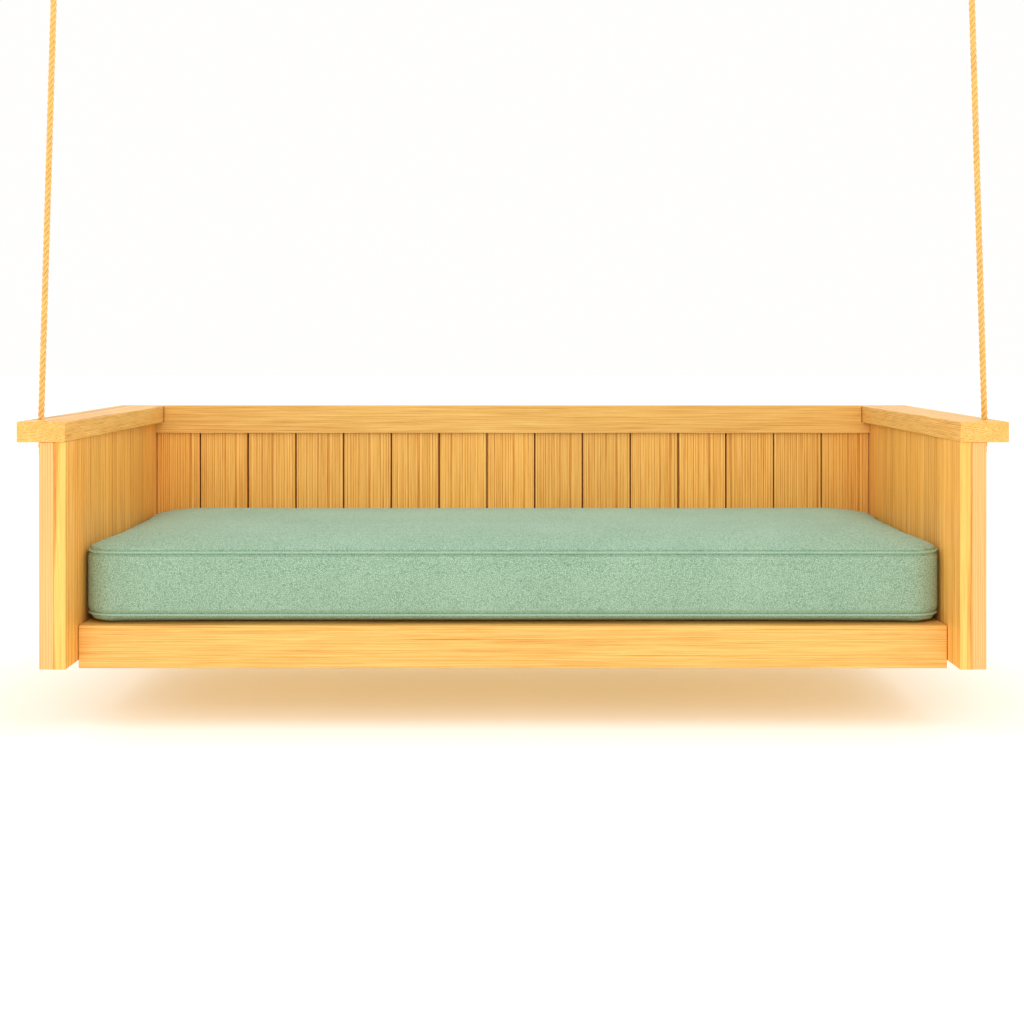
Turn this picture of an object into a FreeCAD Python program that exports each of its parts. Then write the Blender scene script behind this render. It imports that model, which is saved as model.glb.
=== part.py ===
"""Porch swing: a wooden day-bed bench with a boxed cushion, hung on ropes from ceiling hangers.

Millimetres. The origin is the centre of the four ceiling bolts, on the ceiling's face.
-Y is the front, +Z is up, and +X is the right-hand side for someone who stands before the swing.
Dims holds the driving sizes. Layout works out the planes that several pieces share.
"""
import FreeCAD, Part
import math
import os
import re
import Sketcher

doc = FreeCAD.newDocument("porch_swing")


# --- driving sizes -----------------------------------------------------------------------------

DIMS = {
    # hanging
    "hang_height": 1050,            # ceiling to the top of the arm caps
    "hanger_inset": 27,             # rope holes to the ceiling hangers, towards the middle
    "pivot_drop": 48,               # ceiling to the pivot bolts
    "rope_diameter": 12,
    "rope_setback": 70,             # front edge of the sides to the front ropes
    "rear_rope_inset": 70,          # back boards to the rear rope holes
    "rope_hole_play": 2,            # round the rope, in caps and brackets
    "rope_hole_reach": 18,          # outer face of the sides to the rope holes
    "rope_break": 3,                # each rope end to the pivot at the cap's top
    # back boards, whose number and pitch set the width between the sides
    "board_count": 15,
    "board_pitch": 110.6,
    "first_board_trim": 9,          # sawn off the left end board, so that the row fits
    "board_gap": 3.5,
    "board_thickness": 19,
    "board_lap": 8,
    "lap_play": 0.5,
    # sides
    "seat_depth": 700,              # front edge of the sides to the back boards
    "side_height": 419.5,
    "lining_thickness": 22,
    "lining_count": 6,
    "lining_joint": 0.6,
    "post_thickness": 27,
    "post_width": 49,
    "side_rail_height": 63,
    # arm caps
    "cap_thickness": 38,
    "cap_overhang": 40.5,
    "cap_taper": 19,                # how far the inner edge runs inward at the back
    "cap_nose": 3,
    # back top rail
    "back_rail_height": 63,
    "back_rail_depth": 38,
    "back_rail_reveal": 8,
    "back_rail_groove": 10,
    "groove_play": 0.2,
    "shoulder_play": 0.5,
    # seat frame
    "seat_rise": 66.5,              # bottom of the sides to the top of the seat rails
    "rail_height": 81,
    "rail_depth": 38,
    "rail_setback": 78,
    "rail_end_gap": 1,
    "joist_width": 38,
    "joist_housing": 8,
    "ledger_width": 38,
    "slat_thickness": 19,
    "slat_count": 6,
    "slat_gap": 8,
    "slat_end_gap": 2,
    # cushion
    "cushion_side_gap": 6,
    "cushion_front_gap": 16,        # behind the face of the front rail
    "cushion_back_gap": 4,
    "cushion_height": 160,
    "cushion_corner": 38,
    "cushion_edge": 26,
    "cover_thickness": 3,
    # ceiling hangers and pivots
    "plate_length": 130,
    "plate_width": 60,
    "plate_thickness": 6,
    "plate_corner": 8,
    "ceiling_hole_spacing": 90,
    "ceiling_hole_radius": 5.5,
    "ear_thickness": 6,
    "ear_gap": 18,
    "ear_width": 44,
    "ear_below_pivot": 20,
    "bolt_radius": 6,
    "bolt_hole_play": 0.2,
    "bolt_head_across": 18,
    "bolt_head_thickness": 7.5,
    "bolt_tail": 3,
    "nut_thickness": 10,
    "bush_wall": 2,
    "bush_running_play": 0.06,
    "bush_side_play": 0.2,
    "thimble_pitch_radius": 26,
    "thimble_width": 16,
    "thimble_groove_play": 0.1,
    "thimble_rim": 1,
    "leg_gap": 0.6,                 # between the two rope legs under the thimble
    "throat_drop": 77,              # pivot to the point where the legs come together
    "throat_radius": 100,
    "sway_drop": 12,                # tail's end to the bend where the rope starts to lean
    "sway_radius": 1200,
    "tail_length": 78,
    "seizing_length": 44,
    "seizing_thickness": 2.2,
    "seizing_drop": 92,             # pivot to the top of the seizing
    # rope brackets
    "bracket_thickness": 5,
    "bracket_length": 109,
    "bracket_flange": 38,
    "bracket_leg": 103,
    "bracket_hole_reach": 20,       # lining to the bracket's rope hole
    "bracket_hole_inset": 19,       # bracket's end to its rope hole
    "bracket_foot": 4.5,            # bottom of the sides to the bottom of the bracket
    "bend_drop": 30,                # top of the caps to the rope's bend in the hole
    "bend_rise": 15,                # top of the bracket to the rope's bend above it
    "bend_radius": 150,
    "knot_radius": 13.5,
    "knot_height": 34,
    "knot_round": 7,
    "knot_tail": 14,
    # screws
    "lag_radius": 4,
    "lag_head_across": 13,
    "lag_head_thickness": 5.5,
    "lag_hole_play": 0.5,
    "bracket_lag_length": 50,
    "rail_lag_length": 90,
    "lag_first": 27,                # rope hole to the bracket's first row of lags
    "lag_row": 38,
    "lag_edge": 15,                 # bottom of the sides to the lower lags
    "lag_rise": 22,
    "screw_radius": 2.25,
    "screw_head_radius": 4.5,
    "screw_head_depth": 3,
    "deck_screw_length": 45,
    "deck_screw_columns": 5,        # three joists and two ledgers
    "board_screw_length": 45,
    "board_screw_rows": 2,
    "dowel_count": 3,               # in each side
    "dowel_radius": 5,
    "dowel_in_side": 30,
    "dowel_in_cap": 20,
    "ease_radius": 2,               # rounding of the wood's edges
    "fine_ease": 0.8,
}

LAYOUT = {
    "cap_top": "-hang_height",
    "cap_under": "cap_top - cap_thickness",
    "side_foot": "cap_under - side_height",
    "side_in": "(board_count * board_pitch - first_board_trim) / 2",
    "lining_out": "side_in + lining_thickness",
    "side_out": "lining_out + post_thickness",
    "cap_out": "side_out + cap_overhang",
    "side_front": "-rope_setback",
    "back_face": "side_front + seat_depth",
    "side_back": "back_face + board_thickness",
    "cap_front": "side_front - cap_nose",
    "back_rail_front": "back_face - back_rail_reveal",
    "back_rail_back": "back_rail_front + back_rail_depth",
    "back_rail_under": "cap_top - back_rail_height",
    "shoulder": "side_in - cap_taper - shoulder_play",
    "seat_top": "side_foot + seat_rise",
    "seat_foot": "seat_top - rail_height",
    "deck_under": "seat_top - slat_thickness",
    "rail_face": "side_front + rail_setback",
    "rail_back": "rail_face + rail_depth",
    "rear_rail_front": "back_face - rail_depth",
    "joist_pitch": "(side_in - ledger_width * 3 / 4) / 2",
    "slat_width": "(rear_rail_front - rail_back - slat_gap * (slat_count - 1)) / slat_count",
    "slat_pitch": "slat_width + slat_gap",
    "lining_pitch": "(side_back - side_front) / lining_count",
    "rope_hole_x": "side_out + rope_hole_reach",
    "rear_rope_y": "back_face - rear_rope_inset",
    "rope_hole_radius": "rope_diameter / 2 + rope_hole_play",
    "hanger_x": "rope_hole_x - hanger_inset",
    "rope_leg": "(rope_diameter + leg_gap) / 2",
    "bracket_top": "side_foot + bracket_foot + bracket_leg",
    "bracket_hole_x": "lining_out + bracket_hole_reach",
    "dowel_x": "(lining_out + side_out) / 2",
    "lag_low": "side_foot + lag_edge",
}


def make_sheets():
    """Dims holds the driving sizes as plain numbers; Layout holds what follows from them."""
    dims = doc.addObject("Spreadsheet::Sheet", "Dims")
    for row, (name, value) in enumerate(DIMS.items(), start=1):
        dims.set(f"A{row}", name)
        dims.set(f"B{row}", str(value))
        dims.setAlias(f"B{row}", name)
    layout = doc.addObject("Spreadsheet::Sheet", "Layout")
    for row, (name, formula) in enumerate(LAYOUT.items(), start=1):
        layout.set(f"A{row}", name)
        layout.set(f"B{row}", "=" + bound(formula))
        layout.setAlias(f"B{row}", name)
        doc.recompute()


def bound(formula):
    """The formula with each name pointing at its cell."""
    def cell(match):
        name = match.group(0)
        if name in DIMS:
            return "Dims." + name
        return "Layout." + name if name in LAYOUT else name
    return re.sub(r"[a-z][a-z_]*", cell, str(formula))


def value(formula):
    """The formula's present value, as a number."""
    return float(doc.getObject("Dims").evalExpression(bound(formula)))


make_sheets()


# --- helpers -----------------------------------------------------------------------------------

NODES = []


def node(part, label):
    """Names a finished sub-part and puts it on the list that is written out."""
    part.Label = label
    NODES.append(part)
    return part


def place(part, x="0", y="0", z="0"):
    """Binds the part's position to the sheets."""
    for axis, formula in zip("xyz", (x, y, z)):
        part.setExpression(f"Placement.Base.{axis}", bound(formula))
    return part


def sketch_on(body, name, plane, rise):
    """An empty sketch on one of the body's own planes, or standing off it by the rise."""
    sketch = body.newObject("Sketcher::SketchObject", name)
    base = [item for item in body.Origin.OriginFeatures if item.Role == plane][0]
    sketch.AttachmentSupport = [(base, "")]
    sketch.MapMode = "FlatFace"
    sketch.setExpression("AttachmentOffset.Base.z", bound(rise))
    return sketch


def polygon(body, name, plane, points, rise="0"):
    """A closed outline, each corner bound to the sheets."""
    sketch = sketch_on(body, name, plane, rise)
    corners = [FreeCAD.Vector(value(u), value(v), 0) for u, v in points]
    for i, corner in enumerate(corners):
        sketch.addGeometry(Part.LineSegment(corner, corners[(i + 1) % len(corners)]))
    for i in range(len(corners)):
        sketch.addConstraint(Sketcher.Constraint("Coincident", i, 2, (i + 1) % len(corners), 1))
    for i, corner in enumerate(corners):
        for kind, formula, number in zip(("DistanceX", "DistanceY"), points[i], corner):
            index = sketch.addConstraint(Sketcher.Constraint(kind, -1, 1, i, 1, number))
            sketch.setExpression(f"Constraints[{index}]", bound(formula))
    return sketch


def circles(body, name, plane, centres, radius, rise="0"):
    """A sketch of equal circles, each centre and radius bound to the sheets."""
    sketch = sketch_on(body, name, plane, rise)
    for i, (u, v) in enumerate(centres):
        middle = FreeCAD.Vector(value(u), value(v), 0)
        sketch.addGeometry(Part.Circle(middle, FreeCAD.Vector(0, 0, 1), value(radius)))
        index = sketch.addConstraint(Sketcher.Constraint("Radius", i, value(radius)))
        sketch.setExpression(f"Constraints[{index}]", bound(radius))
        for kind, formula, number in (("DistanceX", u, middle.x), ("DistanceY", v, middle.y)):
            index = sketch.addConstraint(Sketcher.Constraint(kind, -1, 1, i, 3, number))
            sketch.setExpression(f"Constraints[{index}]", bound(formula))
    return sketch


def pad(body, sketch, length, backwards=False):
    """Raises the sketch by a length bound to the sheets."""
    feature = body.newObject("PartDesign::Pad", sketch.Name + "_pad")
    feature.Profile = sketch
    feature.setExpression("Length", bound(length))
    feature.Reversed = backwards
    sketch.Visibility = False
    doc.recompute()
    return feature


def drill(body, sketch):
    """Cuts the sketch right through the body, and makes sure that it took something away."""
    before = body.Shape.Volume
    feature = body.newObject("PartDesign::Pocket", sketch.Name + "_pocket")
    feature.Profile = sketch
    feature.Type = "ThroughAll"
    feature.SideType = "Symmetric"
    doc.recompute()
    if body.Shape.Volume > before - 1:
        raise ValueError(f"{body.Name}: {sketch.Name} cuts nothing")
    return feature


def ease(body, feature, radius="ease_radius"):
    """Rounds every edge that the body has so far."""
    rounding = body.newObject("PartDesign::Fillet", body.Name + "_ease")
    rounding.Base = (feature, ["Face1"])
    rounding.UseAllEdges = True
    rounding.setExpression("Radius", bound(radius))
    doc.recompute()
    return rounding


def plank(name, low, high, radius="ease_radius"):
    """A squared piece of wood between two corners, with eased edges."""
    body = doc.addObject("PartDesign::Body", name)
    size = [f"({top}) - ({bottom})" for bottom, top in zip(low, high)]
    corners = [("0", "0"), (size[0], "0"), (size[0], size[1]), ("0", size[1])]
    block = pad(body, polygon(body, name + "_outline", "XY_Plane", corners), size[2])
    ease(body, block, radius)
    place(body, *low)
    doc.recompute()
    return body


def cylinder(name, radius, height, axis="Z"):
    """A round bar from its own origin along X, Y or Z."""
    bar = doc.addObject("Part::Cylinder", name)
    bar.setExpression("Radius", bound(radius))
    bar.setExpression("Height", bound(height))
    turn = {"X": FreeCAD.Rotation(FreeCAD.Vector(0, 1, 0), 90),
            "Y": FreeCAD.Rotation(FreeCAD.Vector(1, 0, 0), -90),
            "Z": FreeCAD.Rotation()}
    bar.Placement = FreeCAD.Placement(FreeCAD.Vector(), turn[axis])
    return bar


def hexagon(name, across, height):
    """A hexagonal bar from its own origin along X."""
    bar = doc.addObject("Part::Prism", name)
    bar.Polygon = 6
    bar.setExpression("Circumradius", bound(f"({across}) / sqrt(3)"))
    bar.setExpression("Height", bound(height))
    bar.Placement = FreeCAD.Placement(FreeCAD.Vector(), FreeCAD.Rotation(FreeCAD.Vector(0, 1, 0), 90))
    return bar


def cut(name, base, *tools):
    """The base without the tools."""
    tool = tools[0]
    if len(tools) > 1:
        tool = doc.addObject("Part::Compound", name + "_tools")
        tool.Links = list(tools)
    result = doc.addObject("Part::Cut", name)
    result.Base = base
    result.Tool = tool
    doc.recompute()
    return result


def fuse(name, *pieces):
    """One solid from several that touch."""
    result = doc.addObject("Part::MultiFuse", name)
    result.Shapes = list(pieces)
    doc.recompute()
    return result


def group(name, *pieces):
    """Separate solids that share one node."""
    result = doc.addObject("Part::Compound", name)
    result.Links = list(pieces)
    doc.recompute()
    return result


def mirrored(name, source):
    """The same piece on the other side of the middle."""
    result = doc.addObject("Part::Mirroring", name)
    result.Source = source
    result.Normal = FreeCAD.Vector(1, 0, 0)
    doc.recompute()
    return result


def pair(label, right):
    """Lists a right-hand piece and its left-hand mirror as two nodes."""
    node(right, label + "_right")
    node(mirrored(label + "_left", right), label + "_left")
    return right


def repeat(body, feature, *rows):
    """Repeats the whole body along one or two of its axes; a row is an axis, a count and a pitch."""
    pattern = body.newObject("PartDesign::LinearPattern", body.Name + "_rows")
    pattern.Originals = [feature]
    pattern.TransformMode = "Whole shape"
    for suffix, (axis, count, pitch) in zip(("", "2"), rows):
        line = [item for item in body.Origin.OriginFeatures if item.Role == axis + "_Axis"][0]
        setattr(pattern, "Direction" + suffix, (line, [""]))
        pattern.setExpression("Occurrences" + suffix, bound(count))
        pattern.setExpression("Length" + suffix, bound(f"({pitch}) * ({count} - 1)"))
    body.Tip = pattern
    doc.recompute()
    return pattern


def edges_along(feature, axis, lowest=False):
    """Names of the feature's straight edges parallel to an axis, or only the lowest of them."""
    names = {}
    for i, edge in enumerate(feature.Shape.Edges, start=1):
        straight = edge.Curve.TypeId == "Part::GeomLine"
        if straight and abs(edge.tangentAt(edge.FirstParameter).dot(axis)) > 0.999:
            names[f"Edge{i}"] = round(edge.CenterOfMass.z, 3)
    bottom = min(names.values())
    return [name for name, height in names.items() if not lowest or height == bottom]


def round_edges(body, feature, names, radius):
    """Rounds the named edges or faces of a feature."""
    rounding = body.newObject("PartDesign::Fillet", f"{body.Name}_round_{len(body.Group)}")
    rounding.Base = (feature, names)
    rounding.setExpression("Radius", bound(radius))
    doc.recompute()
    return rounding


X_AXIS = FreeCAD.Vector(1, 0, 0)
Z_AXIS = FreeCAD.Vector(0, 0, 1)


# --- fasteners, made first because they cut their own holes in the wood ------------------------

def lag(name, x, y, z, length):
    """A coach screw driven inward along X, with its head's underside at x."""
    head = place(hexagon(name + "_head", "lag_head_across", "lag_head_thickness"), x, y, z)
    shank = place(cylinder(name + "_shank", "lag_radius", length, "X"), f"{x} - {length}", y, z)
    return fuse(name, head, shank)


def lag_grid(name, x, rows, length):
    """Right-hand coach screws at each row's y, a lower and an upper one."""
    heights = ("lag_low", "lag_low + lag_rise")
    return [lag(f"{name}_{i}_{k}", x, y, z, length)
            for i, y in enumerate(rows) for k, z in enumerate(heights)]


def screws(name, length, plane, axis, *rows):
    """Countersunk screws in rows; the head's face is at the body's origin."""
    body = doc.addObject("PartDesign::Body", name)
    body.AllowCompound = True
    profile = [("0", "0"), ("screw_head_radius", "0"), ("screw_radius", "-screw_head_depth"),
               ("screw_radius", f"-{length}"), ("0", f"-{length}")]
    turned = body.newObject("PartDesign::Revolution", name + "_turned")
    turned.Profile = polygon(body, name + "_profile", plane, profile)
    turned.ReferenceAxis = ([item for item in body.Origin.OriginFeatures if item.Role == axis][0], [""])
    doc.recompute()
    repeat(body, turned, *rows)
    return body


bracket_rows = ["lag_first", "lag_first + lag_row",
                "rear_rope_y - lag_first", "rear_rope_y - lag_first - lag_row"]
bracket_lags_right = group("bracket_lags_r", *lag_grid(
    "bracket_lag", "lining_out + bracket_thickness", bracket_rows, "bracket_lag_length"))
bracket_lags = node(group("bracket_lags", bracket_lags_right,
                          mirrored("bracket_lags_l", bracket_lags_right)), "bracket_lags")

rail_lags_right = group("rail_lags_r", *lag_grid(
    "rail_lag", "side_out", ["rear_rail_front + rail_depth / 2"], "rail_lag_length"))
rail_lags = node(group("rail_lags", rail_lags_right,
                       mirrored("rail_lags_l", rail_lags_right)), "rail_lags")

deck_screws = screws("deck_screws", "deck_screw_length", "XZ_Plane", "Z_Axis",
                     ("X", "deck_screw_columns", "joist_pitch"), ("Y", "slat_count", "slat_pitch"))
place(deck_screws, "-joist_pitch * (deck_screw_columns - 1) / 2", "rail_back + slat_width / 2", "seat_top")
node(deck_screws, "deck_screws")

board_screws = screws("board_screws", "board_screw_length", "XY_Plane", "Y_Axis",
                      ("X", "board_count", "board_pitch"), ("Z", "board_screw_rows", "lag_rise"))
place(board_screws, "board_pitch / 2 - first_board_trim - side_in", "side_back", "lag_low")
node(board_screws, "board_screws")


def make_dowels():
    """Dowels that hold each arm cap on its posts and its rail."""
    body = doc.addObject("PartDesign::Body", "dowels_r")
    body.AllowCompound = True
    first = circles(body, "dowel_end", "XY_Plane", [("0", "0")], "dowel_radius")
    dowel = pad(body, first, "dowel_in_side + dowel_in_cap")
    pitch = "(side_back - side_front - post_width) / (dowel_count - 1)"
    repeat(body, dowel, ("Y", "dowel_count", pitch))
    place(body, "dowel_x", "side_front + post_width / 2", "cap_under - dowel_in_side")
    doc.recompute()
    return node(group("cap_dowels", body, mirrored("dowels_l", body)), "cap_dowels")


cap_dowels = make_dowels()


# --- sides -------------------------------------------------------------------------------------

front_post = plank("front_post_blank", ("lining_out", "side_front", "side_foot"),
                   ("side_out", "side_front + post_width", "cap_under"))
pair("front_post", cut("front_post_r", front_post, cap_dowels))

rear_post = plank("rear_post_blank", ("lining_out", "side_back - post_width", "side_foot"),
                  ("side_out", "side_back", "cap_under"))
pair("rear_post", cut("rear_post_r", rear_post, cap_dowels, rail_lags))

side_rail = plank("side_rail_blank",
                  ("lining_out", "side_front + post_width", "cap_under - side_rail_height"),
                  ("side_out", "side_back - post_width", "cap_under"))
pair("side_rail", cut("side_rail_r", side_rail, cap_dowels))


def make_lining():
    """Upright boards, butted edge to edge, that line a side from front to back."""
    body = doc.addObject("PartDesign::Body", "lining_blank")
    body.AllowCompound = True
    width = "lining_pitch - lining_joint"
    corners = [("0", "0"), ("lining_thickness", "0"), ("lining_thickness", width), ("0", width)]
    board = pad(body, polygon(body, "lining_outline", "XY_Plane", corners), "side_height")
    repeat(body, ease(body, board, "fine_ease"), ("Y", "lining_count", "lining_pitch"))
    place(body, "side_in", "side_front", "side_foot")
    doc.recompute()
    return body


pair("side_boards", cut("side_boards_r", make_lining(), bracket_lags, rail_lags))


def make_cap():
    """An arm cap whose inner edge runs inward to the back, with a hole for each rope."""
    body = doc.addObject("PartDesign::Body", "cap_blank")
    outline = [("side_in", "cap_front"), ("cap_out", "cap_front"), ("cap_out", "back_rail_back"),
               ("side_in - cap_taper", "back_rail_back")]
    pad(body, polygon(body, "cap_outline", "XY_Plane", outline), "cap_thickness")
    holes = [("rope_hole_x", "0"), ("rope_hole_x", "rear_rope_y")]
    holed = drill(body, circles(body, "cap_holes", "XY_Plane", holes, "rope_hole_radius"))
    ease(body, holed)
    place(body, z="cap_under")
    doc.recompute()
    return body


pair("arm_cap", cut("arm_cap_r", make_cap(), cap_dowels))


# --- back --------------------------------------------------------------------------------------

def make_back_rail():
    """The back's top rail: grooved for the boards, with shoulders under the arm caps."""
    body = doc.addObject("PartDesign::Body", "back_top_rail")
    groove_front = "back_face - groove_play"
    groove_back = "side_back + groove_play"
    groove_top = "back_rail_under + back_rail_groove"
    section = [("back_rail_front", "back_rail_under"), (groove_front, "back_rail_under"),
               (groove_front, groove_top), (groove_back, groove_top),
               (groove_back, "back_rail_under"), ("back_rail_back", "back_rail_under"),
               ("back_rail_back", "cap_top"), ("back_rail_front", "cap_top")]
    feature = pad(body, polygon(body, "rail_section", "YZ_Plane", section), "2 * side_in")
    for name, start, end in (("left", "0", "side_in - shoulder"),
                             ("right", "side_in + shoulder", "2 * side_in")):
        notch = [(start, "cap_under"), (end, "cap_under"), (end, "cap_top"), (start, "cap_top")]
        feature = drill(body, polygon(body, name + "_shoulder", "XZ_Plane", notch))
    ease(body, feature, "fine_ease")
    place(body, x="-side_in")
    doc.recompute()
    return body


node(make_back_rail(), "back_top_rail")


def make_back_board(number, last):
    """A shiplapped upright board; the outermost two are square against the sides."""
    half_gap = "board_gap / 2"
    front_end = "board_pitch - board_gap / 2"
    middle = "board_thickness / 2"
    rear_start = "board_gap / 2 + board_lap"
    rear_end = "board_pitch + board_gap / 2 + board_lap - lap_play"
    right = [(front_end, "0"), (front_end, middle), (rear_end, middle), (rear_end, "board_thickness")]
    left = [(rear_start, "board_thickness"), (rear_start, middle), (half_gap, middle), (half_gap, "0")]
    if number == 1:
        sawn = f"first_board_trim + {half_gap}"
        left = [(sawn, "board_thickness"), (sawn, "0")]
    if number == last:
        right = [(front_end, "0"), (front_end, "board_thickness")]
    name = f"back_board_{number:02d}"
    body = doc.addObject("PartDesign::Body", name + "_blank")
    height = "back_rail_under + back_rail_groove - side_foot"
    board = pad(body, polygon(body, name + "_outline", "XY_Plane", right + left), height)
    ease(body, board, "fine_ease")
    place(body, f"{number - 1} * board_pitch - first_board_trim - side_in", "back_face", "side_foot")
    doc.recompute()
    return node(cut(name, body, board_screws), name)


board_total = round(value("board_count"))
for number in range(1, board_total + 1):
    make_back_board(number, board_total)


# --- seat frame and deck -----------------------------------------------------------------------

joists = []
for name, step in (("left", -1), ("centre", 0), ("right", 1)):
    joist = plank(f"joist_{name}_blank",
                  (f"{step} * joist_pitch - joist_width / 2", "rail_back - joist_housing", "seat_foot"),
                  (f"{step} * joist_pitch + joist_width / 2", "rear_rail_front + joist_housing",
                   "deck_under"))
    joists.append(joist)
    node(cut(f"joist_{name}", joist, deck_screws), f"seat_joist_{name}")

front_rail = plank("front_rail_blank", ("rail_end_gap - side_in", "rail_face", "seat_foot"),
                   ("side_in - rail_end_gap", "rail_back", "seat_top"))
node(cut("front_rail", front_rail, *joists, bracket_lags), "front_rail")

rear_rail = plank("rear_rail_blank", ("rail_end_gap - side_in", "rear_rail_front", "seat_foot"),
                  ("side_in - rail_end_gap", "back_face", "seat_top"))
node(cut("back_bottom_rail", rear_rail, *joists, rail_lags, board_screws), "back_bottom_rail")

ledger = plank("ledger_blank", ("side_in - ledger_width", "rail_back", "seat_foot"),
               ("side_in", "rear_rail_front", "deck_under"))
pair("seat_ledger", cut("ledger_r", ledger, bracket_lags, deck_screws))

for number in range(round(value("slat_count"))):
    front = f"rail_back + {number} * slat_pitch"
    slat = plank(f"slat_{number + 1}_blank", ("slat_end_gap - side_in", front, "deck_under"),
                 ("side_in - slat_end_gap", f"{front} + slat_width", "seat_top"))
    node(cut(f"slat_{number + 1}", slat, deck_screws), f"deck_slat_{number + 1}")


# --- cushion -----------------------------------------------------------------------------------

def make_cushion(name, inset):
    """A boxed cushion's outer shape, or the same shape inset all round."""
    body = doc.addObject("PartDesign::Body", name)
    half = f"(side_in - cushion_side_gap - {inset})"
    front = f"(rail_face + cushion_front_gap + {inset})"
    back = f"(back_face - cushion_back_gap - {inset})"
    plan = [(f"-{half}", front), (half, front), (half, back), (f"-{half}", back)]
    block = pad(body, polygon(body, name + "_plan", "XY_Plane", plan), f"cushion_height - 2 * {inset}")
    corners = edges_along(block, Z_AXIS)
    block = round_edges(body, block, corners, f"cushion_corner - {inset}")
    flats = [f"Face{i}" for i, face in enumerate(block.Shape.Faces, start=1)
             if abs(face.normalAt(0, 0).z) > 0.999]
    round_edges(body, block, flats, f"cushion_edge - {inset}")
    place(body, z=f"seat_top + {inset}")
    doc.recompute()
    return body


foam = node(make_cushion("cushion_foam", "cover_thickness"), "cushion_foam")
node(cut("cushion_cover", make_cushion("cushion_blank", "0"), foam), "cushion_cover")


# --- ceiling hangers and pivots ----------------------------------------------------------------

def make_hanger():
    """A ceiling plate with two open bolt holes and two ears for the pivot bolt."""
    body = doc.addObject("PartDesign::Body", "hanger_r")
    half = ("plate_width / 2", "plate_length / 2")
    plate = [(f"-{half[0]}", f"-{half[1]}"), (half[0], f"-{half[1]}"), half, (f"-{half[0]}", half[1])]
    block = pad(body, polygon(body, "plate", "XY_Plane", plate), "plate_thickness", backwards=True)
    round_edges(body, block, edges_along(block, Z_AXIS), "plate_corner")
    ear = [("-ear_width / 2", "-plate_thickness"),
           ("-ear_width / 2", "-pivot_drop - ear_below_pivot"),
           ("ear_width / 2", "-pivot_drop - ear_below_pivot"),
           ("ear_width / 2", "-plate_thickness")]
    for name, start in (("outer", "ear_gap / 2"), ("inner", "-ear_gap / 2 - ear_thickness")):
        feature = pad(body, polygon(body, name + "_ear", "YZ_Plane", ear, start), "ear_thickness")
    feature = round_edges(body, feature, edges_along(feature, X_AXIS, lowest=True), "ear_below_pivot - 1")
    drill(body, circles(body, "pivot_hole", "YZ_Plane", [("0", "-pivot_drop")],
                        "bolt_radius + bolt_hole_play"))
    drill(body, circles(body, "ceiling_holes", "XY_Plane",
                        [("0", "-ceiling_hole_spacing / 2"), ("0", "ceiling_hole_spacing / 2")],
                        "ceiling_hole_radius"))
    place(body, x="hanger_x")
    doc.recompute()
    return body


pair("ceiling_hanger", make_hanger())


def make_pivot():
    """The right-hand pivot's bolt, nut, bush and thimble."""
    level = ("0", "-pivot_drop")
    ear_out = "(ear_gap / 2 + ear_thickness)"
    head = hexagon("bolt_head", "bolt_head_across", "bolt_head_thickness")
    place(head, f"hanger_x - {ear_out} - bolt_head_thickness", *level)
    shank = cylinder("bolt_shank", "bolt_radius", f"2 * {ear_out} + nut_thickness + bolt_tail", "X")
    place(shank, f"hanger_x - {ear_out}", *level)
    bolt = fuse("bolt_r", head, shank)
    nut = hexagon("nut_blank", "bolt_head_across", "nut_thickness")
    place(nut, f"hanger_x + {ear_out}", *level)
    nut = cut("nut_r", nut, bolt)
    bush_radius = "bolt_radius + bush_running_play + bush_wall"
    bush_length = "ear_gap - 2 * bush_side_play"
    start = "hanger_x - ear_gap / 2 + bush_side_play"
    bush = place(cylinder("bush_blank", bush_radius, bush_length, "X"), start, *level)
    bore = place(cylinder("bush_bore", "bolt_radius + bush_running_play", bush_length, "X"),
                 start, *level)
    bush = cut("bush_r", bush, bore)
    wheel = cylinder("thimble_blank", "thimble_pitch_radius + thimble_rim", "thimble_width", "X")
    place(wheel, "hanger_x - thimble_width / 2", *level)
    groove = doc.addObject("Part::Torus", "thimble_groove")
    groove.setExpression("Radius1", bound("thimble_pitch_radius"))
    groove.setExpression("Radius2", bound("rope_diameter / 2 + thimble_groove_play"))
    groove.Placement = FreeCAD.Placement(FreeCAD.Vector(), FreeCAD.Rotation(FreeCAD.Vector(0, 1, 0), 90))
    place(groove, "hanger_x", *level)
    seat = place(cylinder("thimble_bore", bush_radius, "thimble_width", "X"),
                 "hanger_x - thimble_width / 2", *level)
    thimble = cut("thimble_r", wheel, groove, seat)
    return bolt, nut, bush, thimble


for label, right in zip(("pivot_bolts", "pivot_nuts", "pivot_bushes", "rope_thimbles"), make_pivot()):
    node(group(label, right, mirrored(label + "_l", right)), label)


# --- ropes -------------------------------------------------------------------------------------

def bent(points, radii):
    """Straight runs through the points, joined by an arc of each inner point's radius."""
    edges = []
    start = points[0]
    for i, radius in enumerate(radii, start=1):
        before = (points[i - 1] - points[i]).normalize()
        after = (points[i + 1] - points[i]).normalize()
        half_turn = (math.pi - before.getAngle(after)) / 2
        reach = radius * math.tan(half_turn)
        middle = (before + after).normalize() * (radius / math.cos(half_turn) - radius)
        arc = [points[i] + before * reach, points[i] + middle, points[i] + after * reach]
        edges += [Part.LineSegment(start, arc[0]).toShape(), Part.Arc(*arc).toShape()]
        start = arc[2]
        print(f"rope arc: radius {radius:.0f}, turn {math.degrees(2 * half_turn):.1f} degrees")
    return edges + [Part.LineSegment(start, points[-1]).toShape()]


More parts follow.
